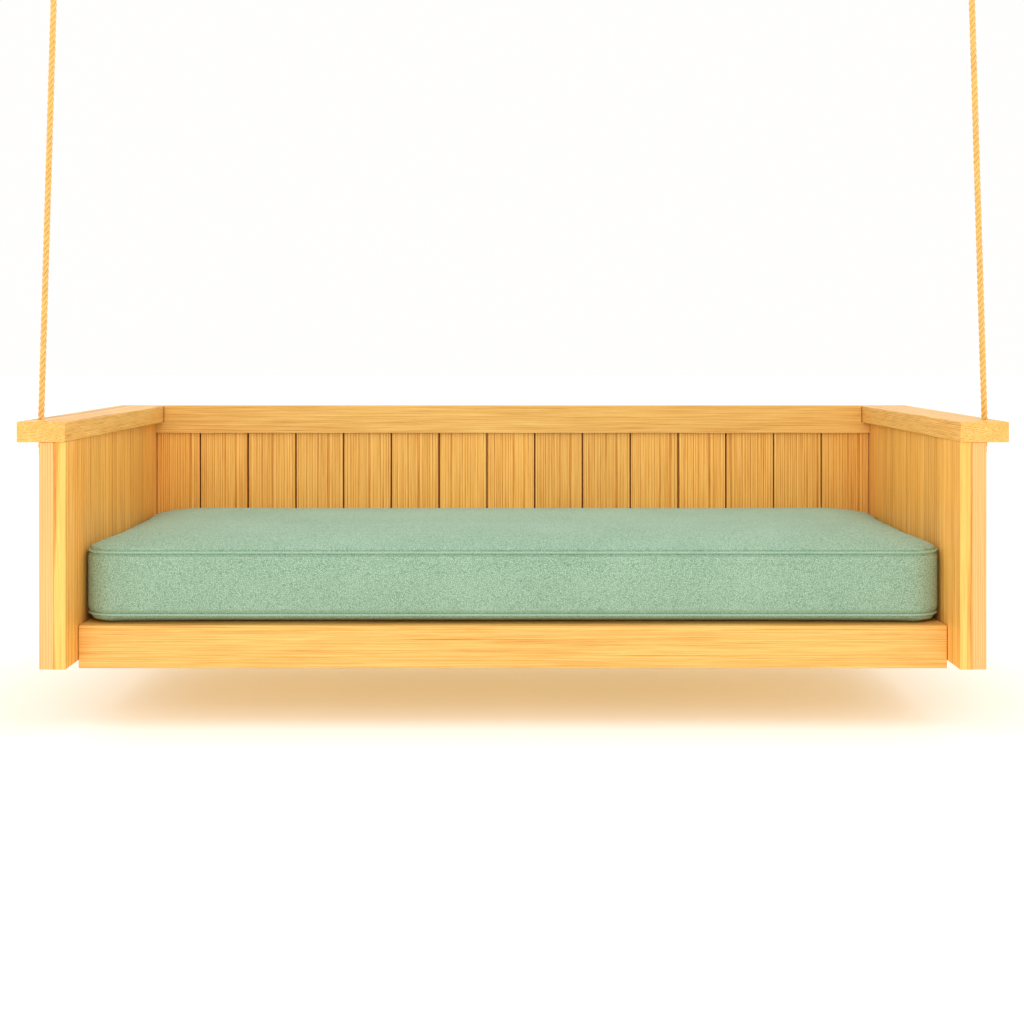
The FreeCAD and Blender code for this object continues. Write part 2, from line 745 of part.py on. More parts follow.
def rope(name, edges):
    """A round rope along joined edges; its volume must be its section times its length."""
    wire = Part.Wire(edges)
    first = edges[0]
    ring = Part.Circle(first.firstVertex().Point, first.tangentAt(first.FirstParameter),
                       value("rope_diameter") / 2)
    tube = wire.makePipeShell([Part.Wire(ring.toShape())], True, True)
    expected = math.pi * value("rope_diameter") ** 2 / 4 * wire.Length
    if abs(tube.Volume / expected - 1) > 0.01:
        raise ValueError(f"{name}: volume {tube.Volume:.0f}, expected {expected:.0f}")
    print(f"{name}: length {wire.Length:.0f}, volume {tube.Volume:.0f}")
    feature = doc.addObject("Part::Feature", name)
    feature.Shape = tube
    feature.Placement = FreeCAD.Placement()
    return feature


hanger_x, pivot_z = value("hanger_x"), -value("pivot_drop")
leg = value("rope_leg")
wrap = value("thimble_pitch_radius")
throat_z = pivot_z - value("throat_drop")
tail_z = throat_z - value("tail_length")
sway = FreeCAD.Vector(hanger_x, -leg, tail_z - value("sway_drop"))
hole = FreeCAD.Vector(value("rope_hole_x"), 0, value("cap_top"))
lean = (hole - sway).normalize()


def make_upper_rope():
    """Up from the arm cap, over the thimble and back down beside itself to the tail."""
    throat = FreeCAD.Vector(hanger_x, -leg, throat_z)
    reach = math.hypot(leg, throat_z - pivot_z)
    # angle from the pivot's plumb line to the tangent point, on the main leg's side
    around = math.acos(wrap / reach) + math.atan2(leg, pivot_z - throat_z)
    touch = FreeCAD.Vector(hanger_x, -wrap * math.sin(around), pivot_z - wrap * math.cos(around))
    top = FreeCAD.Vector(hanger_x, 0, pivot_z + wrap)
    other = FreeCAD.Vector(hanger_x, -touch.y, touch.z)
    tail = [other, FreeCAD.Vector(hanger_x, leg, throat_z), FreeCAD.Vector(hanger_x, leg, tail_z)]
    radius = value("throat_radius")
    edges = bent([hole - lean * value("rope_break"), sway, throat, touch],
                 [value("sway_radius"), radius])
    edges += [Part.Arc(touch, top, other).toShape()]
    return rope("upper_rope_r", edges + bent(tail, [radius]))


def make_lower_rope():
    """Down through the arm cap and straight through the bracket to the knot."""
    bend = hole + lean * (value("bend_drop") / -lean.z)
    bracket_x, bracket_z = value("bracket_hole_x"), value("bracket_top")
    above = FreeCAD.Vector(bracket_x, 0, bracket_z + value("bend_rise"))
    end = FreeCAD.Vector(bracket_x, 0, bracket_z - value("bracket_thickness"))
    return rope("lower_rope_r", bent([hole + lean * value("rope_break"), bend, above, end],
                                     [value("bend_radius")] * 2))


upper_rope = pair("upper_rope", make_upper_rope())
pair("lower_rope", make_lower_rope())


def make_seizing():
    """The twine that binds the two legs of a rope under its thimble."""
    radius = "rope_diameter / 2 + seizing_thickness"
    bottom = "-pivot_drop - seizing_drop - seizing_length"
    legs = [place(cylinder(f"seizing_{side}", radius, "seizing_length"), "hanger_x", y, bottom)
            for side, y in (("front", "-rope_leg"), ("back", "rope_leg"))]
    web = doc.addObject("Part::Box", "seizing_web")
    for prop, formula in (("Length", f"2 * ({radius})"), ("Width", "2 * rope_leg"),
                          ("Height", "seizing_length")):
        web.setExpression(prop, bound(formula))
    place(web, f"hanger_x - ({radius})", "-rope_leg", bottom)
    return cut("seizing_r", fuse("seizing_blank", *legs, web), upper_rope)


seizing = make_seizing()
node(group("rope_seizings", seizing, mirrored("seizing_l", seizing)), "rope_seizings")


def make_knot():
    """A stopper knot under the bracket, with the rope's short tail below it."""
    body = doc.addObject("PartDesign::Body", "knot_r")
    lump = pad(body, circles(body, "knot_ring", "XY_Plane", [("0", "0")], "knot_radius",
                             "-knot_height"), "knot_height")
    ease(body, lump, "knot_round")
    pad(body, circles(body, "tail_ring", "XY_Plane", [("0", "0")], "rope_diameter / 2",
                      "-knot_height - knot_tail"), "knot_tail + 1")
    place(body, "bracket_hole_x", "0", "bracket_top - bracket_thickness")
    doc.recompute()
    return body


knot = make_knot()
node(group("rope_knots", knot, mirrored("knot_l", knot)), "rope_knots")


def make_bracket():
    """A steel angle on the outside of the lining that takes the rope's end."""
    body = doc.addObject("PartDesign::Body", "bracket_r")
    section = [("0", "0"), ("bracket_flange", "0"), ("bracket_flange", "-bracket_thickness"),
               ("bracket_thickness", "-bracket_thickness"), ("bracket_thickness", "-bracket_leg"),
               ("0", "-bracket_leg")]
    angle = pad(body, polygon(body, "angle", "XZ_Plane", section), "bracket_length", backwards=True)
    ease(body, angle, "fine_ease")
    drill(body, circles(body, "rope_hole", "XY_Plane",
                        [("bracket_hole_reach", "bracket_hole_inset")], "rope_hole_radius"))
    rows = ("bracket_hole_inset + lag_first", "bracket_hole_inset + lag_first + lag_row")
    heights = ("lag_low - bracket_top", "lag_low - bracket_top + lag_rise")
    drill(body, circles(body, "lag_holes", "YZ_Plane", [(y, z) for y in rows for z in heights],
                        "lag_radius + lag_hole_play"))
    place(body, "lining_out", "-bracket_hole_inset", "bracket_top")
    doc.recompute()
    return body


front_bracket = make_bracket()
rear_bracket = doc.addObject("Part::Mirroring", "rear_bracket_r")
rear_bracket.Source = front_bracket
rear_bracket.Normal = FreeCAD.Vector(0, 1, 0)
rear_bracket.setExpression("Base.y", bound("rear_rope_y / 2"))
doc.recompute()
for label, right in (("front_rope_brackets", front_bracket), ("rear_rope_brackets", rear_bracket)):
    node(group(label, right, mirrored(label + "_l", right)), label)


# --- check and write ---------------------------------------------------------------------------

doc.recompute()
for item in doc.Objects:
    if {"Invalid", "Error"} & set(item.State):
        raise ValueError(f"{item.Name} failed: {item.State}")
for part in NODES:
    if part.Shape.isNull() or not part.Shape.isValid() or not part.Shape.Solids:
        raise ValueError(f"{part.Label} has no valid solid")

os.makedirs("parts", exist_ok=True)
for part in NODES:
    part.Shape.exportStep(f"parts/{part.Label}.step")
print(f"{len(NODES)} nodes written")
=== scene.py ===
# %% [markdown]
# # A porch swing in pine, rope and cloth
#
# The structure of this swing comes ready made: posts, boards, rails and hangers stand where the frame puts them,
# and they already have their true sizes. What is left is everything that a hand or an eye would notice first:
# the pine's grain, the laid rope, and a boxed cushion with piped seams.
#
# Each step below makes one of these. All lengths are metres, and places are read from the frame, so nothing has
# to be fitted afterwards.

# %% Load the frame
import math

import bmesh
import bpy
import numpy as np
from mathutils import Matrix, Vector
from mathutils.bvhtree import BVHTree


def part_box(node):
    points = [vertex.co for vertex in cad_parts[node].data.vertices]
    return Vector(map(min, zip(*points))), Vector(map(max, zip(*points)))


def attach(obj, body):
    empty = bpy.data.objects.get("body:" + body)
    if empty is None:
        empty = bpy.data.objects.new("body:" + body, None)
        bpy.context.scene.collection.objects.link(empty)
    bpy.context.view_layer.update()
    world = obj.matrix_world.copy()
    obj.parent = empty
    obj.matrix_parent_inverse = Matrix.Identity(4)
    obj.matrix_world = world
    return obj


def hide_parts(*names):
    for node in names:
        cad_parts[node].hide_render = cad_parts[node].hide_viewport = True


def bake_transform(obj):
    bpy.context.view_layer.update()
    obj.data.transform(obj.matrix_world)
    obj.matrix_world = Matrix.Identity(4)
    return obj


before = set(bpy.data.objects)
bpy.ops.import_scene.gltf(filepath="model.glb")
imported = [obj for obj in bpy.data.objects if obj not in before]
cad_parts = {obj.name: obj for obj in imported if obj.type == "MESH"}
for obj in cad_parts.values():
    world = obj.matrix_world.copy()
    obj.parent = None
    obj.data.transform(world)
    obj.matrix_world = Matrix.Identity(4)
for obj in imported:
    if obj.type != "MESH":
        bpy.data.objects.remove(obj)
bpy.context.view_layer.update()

cap_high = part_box("arm_cap_right")[1]
post_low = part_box("front_post_right")[0]
rail_low, rail_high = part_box("front_rail")
print("loaded", len(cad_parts), "nodes; bench width", round(2 * cap_high[0], 3))

# %% [markdown]
# ## The camera and the room
#
# The uprights of a long bench should look upright, so the camera is dead level and the view is framed with the
# lens's shift instead of a tilt. The camera stands a little above the arm caps, which shows their tops as thin
# bright strips.

# %% Camera
CAMERA_DISTANCE = 2.738
CAMERA_RISE = 0.145
SENSOR_WIDTH_MM = 36
FOCAL_LENGTH_MM = 52.2
SHIFT_X, SHIFT_Y = -0.0008, -0.165
CLIP_END = 60

camera_data = bpy.data.cameras.new("camera")
camera_data.sensor_width = SENSOR_WIDTH_MM
camera_data.lens = FOCAL_LENGTH_MM
camera_data.shift_x = SHIFT_X
camera_data.shift_y = SHIFT_Y
camera_data.clip_end = CLIP_END
camera = bpy.data.objects.new("camera", camera_data)
camera.location = (0, post_low[1] - CAMERA_DISTANCE, cap_high[2] + CAMERA_RISE)
camera.rotation_euler = (math.pi / 2, 0, 0)
bpy.context.scene.collection.objects.link(camera)
bpy.context.scene.camera = camera
bpy.context.scene.view_settings.view_transform = "Standard"
print("camera", [round(v, 3) for v in camera.location])


# %% Small helpers that every later cell uses
def link(obj):
    """Puts an object in the scene and returns it."""
    bpy.context.scene.collection.objects.link(obj)
    return obj


def mesh_object(name, points, faces, material):
    """A smooth mesh object at the origin, from points in the row frame."""
    mesh = bpy.data.meshes.new(name)
    mesh.from_pydata([tuple(p) for p in points], [], faces)
    mesh.shade_smooth()
    mesh.materials.append(material)
    return link(bpy.data.objects.new(name, mesh))


def face_outward(obj):
    """Turns every face of a closed mesh outward."""
    work = bmesh.new()
    work.from_mesh(obj.data)
    bmesh.ops.recalc_face_normals(work, faces=work.faces)
    work.to_mesh(obj.data)
    work.free()


def new_material(name):
    """A node material that holds only a wired shader: returns it with its tree and that shader."""
    material = bpy.data.materials.new(name)
    material.use_nodes = True
    tree = material.node_tree
    tree.nodes.clear()
    shader = tree.nodes.new("ShaderNodeBsdfPrincipled")
    out = tree.nodes.new("ShaderNodeOutputMaterial")
    tree.links.new(shader.outputs["BSDF"], out.inputs["Surface"])
    return material, tree, shader


def node(tree, kind, settings=None, **inputs):
    """Adds a node; an input is a number, a colour or another node's output. _0 names an input by its place."""
    made = tree.nodes.new("ShaderNode" + kind)
    for key, setting in (settings or {}).items():
        setattr(made, key, setting)
    for key, source in inputs.items():
        socket = made.inputs[int(key[1:])] if key[0] == "_" else made.inputs[key.replace("_", " ")]
        if isinstance(source, bpy.types.NodeSocket):
            tree.links.new(source, socket)
        else:
            socket.default_value = source
    return made


def math_node(tree, operation, *values):
    """A Math node's result."""
    return node(tree, "Math", {"operation": operation}, **{f"_{i}": v for i, v in enumerate(values)}).outputs[0]


def vector_node(tree, operation, *values, **inputs):
    """A Vector Math node's vector; SCALE takes its factor as Scale."""
    return node(tree, "VectorMath", {"operation": operation},
                **{f"_{i}": v for i, v in enumerate(values)}, **inputs).outputs[0]


def ramp(tree, factor, stops):
    """A colour ramp's colour; a stop is a place and a colour."""
    made = node(tree, "ValToRGB", Fac=factor)
    elements = made.color_ramp.elements
    while len(elements) < len(stops):
        elements.new(0.5)
    for element, (place, colour) in zip(elements, stops):
        element.position = place
        element.color = (*colour, 1)
    return made.outputs["Color"]


# %% [markdown]
# The floor is close under the bench, as if the swing hung just clear of a studio table. It gives off a little
# warm light of its own, which keeps the shadow under the bench soft and sandy instead of grey.

# %% Floor and light
FLOOR_GAP = 0.112
FLOOR_REACH = 30
LIGHT_AIM_Y = 0.25
LIGHTS = {  # place, size in metres, power in watts
    "front_light": ((-1.2, -4.2, 0.6), 2.6, 46),
    "top_light": ((0.6, -0.6, 1.8), 3.0, 24),
}

floor_z = rail_low[2] - FLOOR_GAP
corners = [(x * FLOOR_REACH, y * FLOOR_REACH, floor_z) for x, y in ((-1, -1), (1, -1), (1, 1), (-1, 1))]
floor_material, tree, shader = new_material("studio floor")
shader.inputs["Base Color"].default_value = (0.82, 0.82, 0.90, 1)
shader.inputs["Roughness"].default_value = 0.9
shader.inputs["Emission Color"].default_value = (0.92, 0.84, 0.39, 1)
shader.inputs["Emission Strength"].default_value = 0.32
floor = mesh_object("studio_floor", corners, [(0, 1, 2, 3)], floor_material)

world = bpy.data.worlds.new("studio")
bpy.context.scene.world = world
world.use_nodes = True
sky = world.node_tree.nodes["Background"].inputs
sky["Color"].default_value = (1.0, 0.995, 0.985, 1)
sky["Strength"].default_value = 1.0


def soft_light(name, place, target, size, power):
    """A large square lamp aimed at a point."""
    data = bpy.data.lights.new(name, "AREA")
    data.energy = power
    data.size = size
    lamp = link(bpy.data.objects.new(name, data))
    lamp.location = place
    lamp.rotation_euler = (Vector(target) - Vector(place)).to_track_quat("-Z", "Y").to_euler()


for name, (place, size, power) in LIGHTS.items():
    soft_light(name, place, (0, LIGHT_AIM_Y, rail_high[2]), size, power)
print("floor at", round(floor_z, 3))


# %% [markdown]
# ## Pine
#
# A board is a slice of a tree, so its pattern is made the way the tree makes it: growth rings are thin cylinders
# round a pith that lies somewhere outside the board, drawn out along the grain and bent a little by slow noise. Every
# board gets a pith of its own. Because the pattern fills space, the end grain comes out by itself.
#
# One node group does this for all boards. Its inputs are a point whose third axis is the grain, a seed, how light
# and how wavy the board is, where its pith lies, and how wide its rings are.

# %% The pine node group
SEED_JUMP = (1.37, 2.11, 3.73)
BEND_SCALE = (5.5, 5.5, 1.3)
BEND_DEPTH = 0.022
RING_UNEVENNESS = 2.4
PINE_COLOURS = [(0.0, (0.95, 0.60, 0.185)), (0.34, (0.88, 0.485, 0.117)),
                (0.64, (0.72, 0.325, 0.056)), (1.0, (0.42, 0.150, 0.020))]


def group_input(tree, name, kind, default):
    """Adds an input socket to a node group."""
    socket = tree.interface.new_socket(name, in_out="INPUT", socket_type="NodeSocket" + kind)
    socket.default_value = default


def make_pine_group():
    """The pattern shared by every pine board: colour, roughness and height from a point and a seed."""
    tree = bpy.data.node_groups.new("pine pattern", "ShaderNodeTree")
    tree.interface.new_socket("Point", in_out="INPUT", socket_type="NodeSocketVector")
    group_input(tree, "Seed", "Float", 0.0)
    group_input(tree, "Lightness", "Float", 1.0)
    group_input(tree, "Waviness", "Float", 1.0)
    group_input(tree, "Pith", "Vector", (0.16, 0.05, 0.0))
    group_input(tree, "Ring Width", "Float", 0.0024)
    for name, kind in (("Color", "Color"), ("Roughness", "Float"), ("Height", "Float")):
        tree.interface.new_socket(name, in_out="OUTPUT", socket_type="NodeSocket" + kind)
    given = tree.nodes.new("NodeGroupInput").outputs
    result = tree.nodes.new("NodeGroupOutput").inputs

    # the point, moved by the seed, with its third axis along the grain
    jump = node(tree, "CombineXYZ", **{axis: math_node(tree, "MULTIPLY", given["Seed"], step)
                                       for axis, step in zip("XYZ", SEED_JUMP)}).outputs[0]
    point = vector_node(tree, "ADD", given["Point"], jump)

    # slow bending of the grain
    slow = vector_node(tree, "MULTIPLY", point, BEND_SCALE)
    bend = node(tree, "TexNoise", Vector=slow, Scale=1.0, Detail=2.0, Roughness=0.4).outputs["Color"]
    bend = vector_node(tree, "SUBTRACT", bend, (0.5, 0.5, 0.5))
    amount = math_node(tree, "MULTIPLY", given["Waviness"], BEND_DEPTH)
    bend = vector_node(tree, "SCALE", bend, Scale=amount)

    # the pith lies beside the board, a little nearer or farther as the seed picks
    own = node(tree, "TexWhiteNoise", {"noise_dimensions": "1D"}, W=given["Seed"]).outputs["Value"]
    side = vector_node(tree, "SCALE", given["Pith"], Scale=math_node(tree, "MULTIPLY_ADD", own, 0.5, 0.8))
    flat = vector_node(tree, "ADD", given["Point"], bend)
    flat = vector_node(tree, "ADD", flat, side)
    flat = vector_node(tree, "MULTIPLY", flat, (1, 1, 0))
    radius = node(tree, "VectorMath", {"operation": "LENGTH"}, _0=flat).outputs["Value"]

    # rings of uneven width: a slow climb to the dark late wood, then a sharp fall
    uneven = node(tree, "TexNoise", {"noise_dimensions": "1D"}, W=math_node(tree, "MULTIPLY", radius, 60.0),
                  Scale=1.0, Detail=1.0).outputs["Fac"]
    count = math_node(tree, "DIVIDE", radius, given["Ring Width"])
    count = math_node(tree, "ADD", count, math_node(tree, "MULTIPLY", uneven, RING_UNEVENNESS))
    ring = math_node(tree, "FRACT", count)
    late = node(tree, "MapRange", {"interpolation_type": "SMOOTHSTEP"}, Value=ring,
                _1=0.35, _2=0.86, _3=0.0, _4=1.0).outputs[0]
    fall = node(tree, "MapRange", {"interpolation_type": "SMOOTHSTEP"}, Value=ring,
                _1=0.93, _2=1.0, _3=1.0, _4=0.0).outputs[0]
    late = math_node(tree, "MULTIPLY", late, fall)

    # fibres: noise drawn out along the grain, fine and finer
    def streaks(across, along, detail):
        stretched = vector_node(tree, "MULTIPLY", point, (across, across, along))
        return node(tree, "TexNoise", Vector=stretched, Scale=1.0, Detail=detail, Roughness=0.6).outputs["Fac"]

    broad, fine, finest = streaks(230, 4, 2.0), streaks(620, 9, 3.0), streaks(2000, 40, 2.0)
    patch = streaks(14, 2.2, 1.0)

    tone = math_node(tree, "MULTIPLY", late, 0.50)
    for source, share in ((broad, 0.75), (fine, 1.05), (finest, 0.30), (patch, 0.24)):
        centred = math_node(tree, "SUBTRACT", source, 0.5)
        tone = math_node(tree, "ADD", tone, math_node(tree, "MULTIPLY", centred, share))
    colour = ramp(tree, math_node(tree, "ADD", tone, 0.24), PINE_COLOURS)
    tree.links.new(vector_node(tree, "SCALE", colour, Scale=given["Lightness"]), result["Color"])
    rough = math_node(tree, "ADD", 0.40, math_node(tree, "MULTIPLY", fine, 0.18))
    rough = math_node(tree, "SUBTRACT", rough, math_node(tree, "MULTIPLY", late, 0.06))
    tree.links.new(rough, result["Roughness"])
    height = math_node(tree, "MULTIPLY", late, 0.5)
    height = math_node(tree, "ADD", height, math_node(tree, "MULTIPLY", fine, 0.8))
    tree.links.new(height, result["Height"])
    return tree


pine_group = make_pine_group()
print("pine pattern has", len(pine_group.nodes), "nodes")


# %% [markdown]
# The group expects the grain along its third axis, so each board's own coordinates are put in that order first. A
# side is lined with several boards that share one node, and those take a new seed at every joint. The posts are
# picked for quiet grain, and the wood on the inside gets a warmer tint, painted shade for faces that lie in shade.

# %% Pine for each piece of wood
GRAIN_ORDER = {"X": ("Y", "Z", "X"), "Y": ("Z", "X", "Y"), "Z": ("X", "Y", "Z")}
LINING_COUNT = 6
BOARD_LAP = 0.0111
LAP_FRONT_Y = 0.002
# painted shade in the joints between the back boards: how much each channel loses
JOINT_SHADE_LOSS = (0.62, 0.76, 0.80)
PLAIN_PINE = (0.93, 0.48, 0.19)
# painted shade: the warmer, deeper colour that the inner faces show in shade, given to the back and side boards
SHADED_FACE_TINT = (1.02, 0.95, 0.80)
SEED_PER_BOARD = 0.77
LIGHTNESS_SPREAD = 0.12


def pine(name, axis, seed, lightness, waviness, pith, ring_width=0.0024, boards_along_y=None, lap=0.0, calm=0.0,
         tint=(1, 1, 1)):
    """A pine material with its grain along the axis.

    boards_along_y is a start and a pitch. lap is the width that lies behind the next board; its front, which shows in
    the joint's gap, is darkened as painted shade for the shade that falls in the joint. calm is how much of the grain
    is lost in plain pine, and tint multiplies the result."""
    material, tree, shader = new_material(name)
    low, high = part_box(name)
    middle = [(a + b) / 2 for a, b in zip(low, high)]
    point = vector_node(tree, "SUBTRACT", node(tree, "TexCoord").outputs["Object"], middle)
    parts = node(tree, "SeparateXYZ", Vector=point).outputs
    order = GRAIN_ORDER[axis]
    turned = node(tree, "CombineXYZ", X=parts[order[0]], Y=parts[order[1]], Z=parts[order[2]]).outputs[0]
    pattern = tree.nodes.new("ShaderNodeGroup")
    pattern.node_tree = pine_group
    tree.links.new(turned, pattern.inputs["Point"])
    for key, value in (("Seed", seed), ("Lightness", lightness), ("Waviness", waviness), ("Pith", (*pith, 0)),
                       ("Ring Width", ring_width)):
        pattern.inputs[key].default_value = value
    if boards_along_y:
        start, pitch = boards_along_y
        from_start = math_node(tree, "SUBTRACT", parts["Y"], start)
        number = math_node(tree, "FLOOR", math_node(tree, "DIVIDE", from_start, pitch))
        tree.links.new(math_node(tree, "MULTIPLY_ADD", number, SEED_PER_BOARD, seed), pattern.inputs["Seed"])
        own = node(tree, "TexWhiteNoise", {"noise_dimensions": "1D"}, W=number).outputs["Value"]
        tree.links.new(math_node(tree, "MULTIPLY_ADD", own, LIGHTNESS_SPREAD, lightness - LIGHTNESS_SPREAD / 2),
                       pattern.inputs["Lightness"])
    colour = vector_node(tree, "SCALE", pattern.outputs["Color"], Scale=1 - calm)
    colour = vector_node(tree, "ADD", colour, [calm * lightness * c for c in PLAIN_PINE])
    colour = vector_node(tree, "MULTIPLY", colour, tint)
    # painted shade: the front of the lap, seen in the joint's gap, is darkened where shade falls between the boards
    if lap:
        beyond = math_node(tree, "GREATER_THAN", parts["X"], (high[0] - low[0]) / 2 - lap)
        facing = math_node(tree, "LESS_THAN", parts["Y"], LAP_FRONT_Y)
        lip_in_joint_shade = math_node(tree, "MULTIPLY", beyond, facing)
        loss = vector_node(tree, "SCALE", JOINT_SHADE_LOSS, Scale=lip_in_joint_shade)
        colour = vector_node(tree, "MULTIPLY", colour, vector_node(tree, "SUBTRACT", (1, 1, 1), loss))
    tree.links.new(colour, shader.inputs["Base Color"])
    tree.links.new(pattern.outputs["Roughness"], shader.inputs["Roughness"])
    shader.inputs["Specular IOR Level"].default_value = 0.32
    shader.inputs["Coat Weight"].default_value = 0.10
    shader.inputs["Coat Roughness"].default_value = 0.30
    bump = node(tree, "Bump", Height=pattern.outputs["Height"], Strength=0.22, Distance=0.0006)
    tree.links.new(bump.outputs[0], shader.inputs["Normal"])
    return material


def dress(name, material):
    """Gives a CAD node its material."""
    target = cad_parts[name]
    target.data.materials.clear()
    target.data.materials.append(material)


lining_low, lining_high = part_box("side_boards_right")
lining_depth = lining_high[1] - lining_low[1]
lining_boards = (-lining_depth / 2, lining_depth / LINING_COUNT)
last_board = max(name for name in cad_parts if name.startswith("back_board"))
rng = np.random.default_rng(7)
wood_count = 0
for name in sorted(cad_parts):
    seed = round(float(rng.uniform(0, 40)), 3)
    shade = round(float(rng.uniform(0.93, 1.05)), 3)
    if name.startswith("back_board"):
        made = pine(name, "Z", seed, lightness=shade * 1.07, waviness=0.25, pith=(0.22, 0.03), ring_width=0.0046,
                    lap=0 if name == last_board else BOARD_LAP, tint=SHADED_FACE_TINT)
    elif name.startswith("side_boards"):
        made = pine(name, "Z", seed, lightness=1.08, waviness=0.25, pith=(0.03, 0.55), ring_width=0.0075,
                    boards_along_y=lining_boards, tint=SHADED_FACE_TINT)
    elif name.endswith(("post_left", "post_right")):
        made = pine(name, "Z", seed, lightness=1.02, waviness=0.25, pith=(0.22, 0.20), ring_width=0.0034,
                    calm=0.6)
    elif name.startswith("arm_cap"):
        made = pine(name, "Y", seed, lightness=1.05, waviness=0.35, pith=(0.34, 0.05))
    elif "joist" in name or "ledger" in name or name.startswith("side_rail"):
        made = pine(name, "Y", seed, lightness=1.0, waviness=0.6, pith=(0.10, 0.16))
    elif name.startswith(("front_rail", "back_top", "back_bottom", "deck_slat")):
        made = pine(name, "X", seed, lightness=1.04, waviness=0.55, pith=(0.05, 0.26))
    elif name == "cap_dowels":
        made = pine(name, "Z", seed, lightness=0.9, waviness=0.3, pith=(0.05, 0.05))
    else:
        continue
    dress(name, made)
    wood_count += 1
print(wood_count, "wooden nodes dressed")

# %% [markdown]
# ## The ropes
#
# Each side hangs on one rope. It starts in a knot under a steel bracket, comes up through the arm cap, leans in to the
# ceiling hanger, goes round the thimble, and is bound to itself with twine. Its centre line is one smooth curve; the
# control points stand just outside the thimble's circle, because such a curve cuts its corners.
#
# Three strands are then wound round that line, as a ropemaker lays them.

# %% The ropes' centre lines
BRACKET_X, CAP_HOLE_X, HANGER_X = 0.867, 0.892, 0.865
HINGE_Z = -1.050  # the top of the arm caps, where the bench turns under the ropes
LEG_Y = 0.0063  # from the hanger's middle to either leg of the eye
UP_THE_EYE = [(LEG_Y, -0.125), (0.0130, -0.0999), (0.0225, -0.0644), (0.0277, -0.0451), (0.0186, -0.0273)]
EYE_TOP_Z = -0.0202
ROPE_ROUTE = [
    (BRACKET_X, 0.0, -1.412), (BRACKET_X, 0.0, -1.385), (0.8731, 0.0, -1.3133), (0.8869, 0.0001, -1.1517),
    (0.8930, 0.0002, -1.080), (CAP_HOLE_X, 0.0, HINGE_Z), (0.8897, -0.0005, -0.978), (0.8673, -0.0058, -0.287),
    (HANGER_X, -LEG_Y, -0.215), (HANGER_X, -LEG_Y, -0.151),
    *((HANGER_X, -y, z) for y, z in UP_THE_EYE),
    (HANGER_X, 0.0, EYE_TOP_Z),
    *((HANGER_X, y, z) for y, z in reversed(UP_THE_EYE)),
    (HANGER_X, LEG_Y, -0.151), (HANGER_X, LEG_Y, -0.203),
]


def centre_line(name, route):
    """Points along one smooth open curve through the route, about 1.5 mm apart or closer at bends."""
    curve = bpy.data.curves.new(name, "CURVE")
    curve.dimensions = "3D"
    curve.resolution_u = 24
    spline = curve.splines.new("NURBS")
    spline.points.add(len(route) - 1)
    for point, place in zip(spline.points, route):
        point.co = (*place, 1)
    spline.order_u = 3
    spline.use_endpoint_u = True
    line = link(bpy.data.objects.new(name, curve))
    drawn = bpy.data.meshes.new_from_object(line)
    points = np.array([v.co for v in drawn.vertices])
    bpy.data.objects.remove(line)
    bpy.data.meshes.remove(drawn)
    return points


def distance_along(points):
    """Each point's distance from the first, measured along the line."""
    gaps = np.linalg.norm(np.diff(points, axis=0), axis=1)
    return np.concatenate([[0], np.cumsum(gaps)])


def even_steps(points, step):
    """The same line with points at equal steps, and its length."""
    along = distance_along(points)
    count = int(along[-1] / step) + 1
    wanted = np.linspace(0, along[-1], count)
    return np.stack([np.interp(wanted, along, points[:, k]) for k in range(3)], axis=1), along[-1]


def frames_along(points):
    """Two crosswise directions at each point, carried along without twist."""
    tangents = np.gradient(points, axis=0)
    tangents /= np.linalg.norm(tangents, axis=1)[:, None]
    side = np.cross(tangents[0], (0.0, 1.0, 0.0))
    sides = []
    for tangent in tangents:
        side = side - tangent * side.dot(tangent)
        side /= np.linalg.norm(side)
        sides.append(side)
    sides = np.array(sides)
    return sides, np.cross(tangents, sides)


def rings_round(points, sides, ups, radius, around):
    """The points of a ring round each point of a line, ring after ring."""
    turn = np.linspace(0, 2 * math.pi, around, endpoint=False)
    out = np.cos(turn)[None, :, None] * sides[:, None, :] + np.sin(turn)[None, :, None] * ups[:, None, :]
    return (points[:, None, :] + radius * out).reshape(-1, 3)


def tube(points, radius, around, first=0):
    """Vertices, faces and UVs of a round tube with closed ends; U runs round it and V along it in metres."""
    sides, ups = frames_along(points)
    verts = rings_round(points, sides, ups, radius, around)
    along = distance_along(points)
    faces, uvs = [], []
    for i in range(len(points) - 1):
        for k in range(around):
            n = (k + 1) % around
            faces.append(tuple(first + v for v in (i * around + k, i * around + n,
                                                   (i + 1) * around + n, (i + 1) * around + k)))
            u0, u1 = k / around, (k + 1) / around
            uvs.append(((u0, along[i]), (u1, along[i]), (u1, along[i + 1]), (u0, along[i + 1])))
    last = (len(points) - 1) * around
    start_cap = tuple(first + k for k in reversed(range(around)))
    end_cap = tuple(first + last + k for k in range(around))
    for cap, height in ((start_cap, along[0]), (end_cap, along[-1])):
        faces.append(cap)
        uvs.append(tuple((k / around, height) for k in range(around)))
    return verts, faces, uvs


def tubes_object(name, tubes, material):
    """One mesh object from several tubes, each a line of points, a radius and a number of sides."""
    verts, faces, uvs = [], [], []
    for points, radius, around in tubes:
        v, f, u = tube(points, radius, around, len(verts))
        verts += list(v)
        faces += f
        uvs += u
    made = mesh_object(name, verts, faces, material)
    layer = made.data.uv_layers.new(name="along")
    layer.data.foreach_set("uv", np.array([c for face in uvs for c in face], float).ravel())
    face_outward(made)
    return made


def laid_strands(points, count, lay, offset):
    """Lines of strands wound round a centre line; lay is the length of one turn."""
    along = distance_along(points)
    sides, ups = frames_along(points)
    strands = []
    for k in range(count):
        angle = 2 * math.pi * (along / lay + k / count)
        strands.append(points + offset * (np.cos(angle)[:, None] * sides + np.sin(angle)[:, None] * ups))
    return strands


# %% [markdown]
# A strand is itself twisted from yarns, the other way round. Its own UV map carries that twist: lines that climb
# round the tube, broken up by loose fibre.

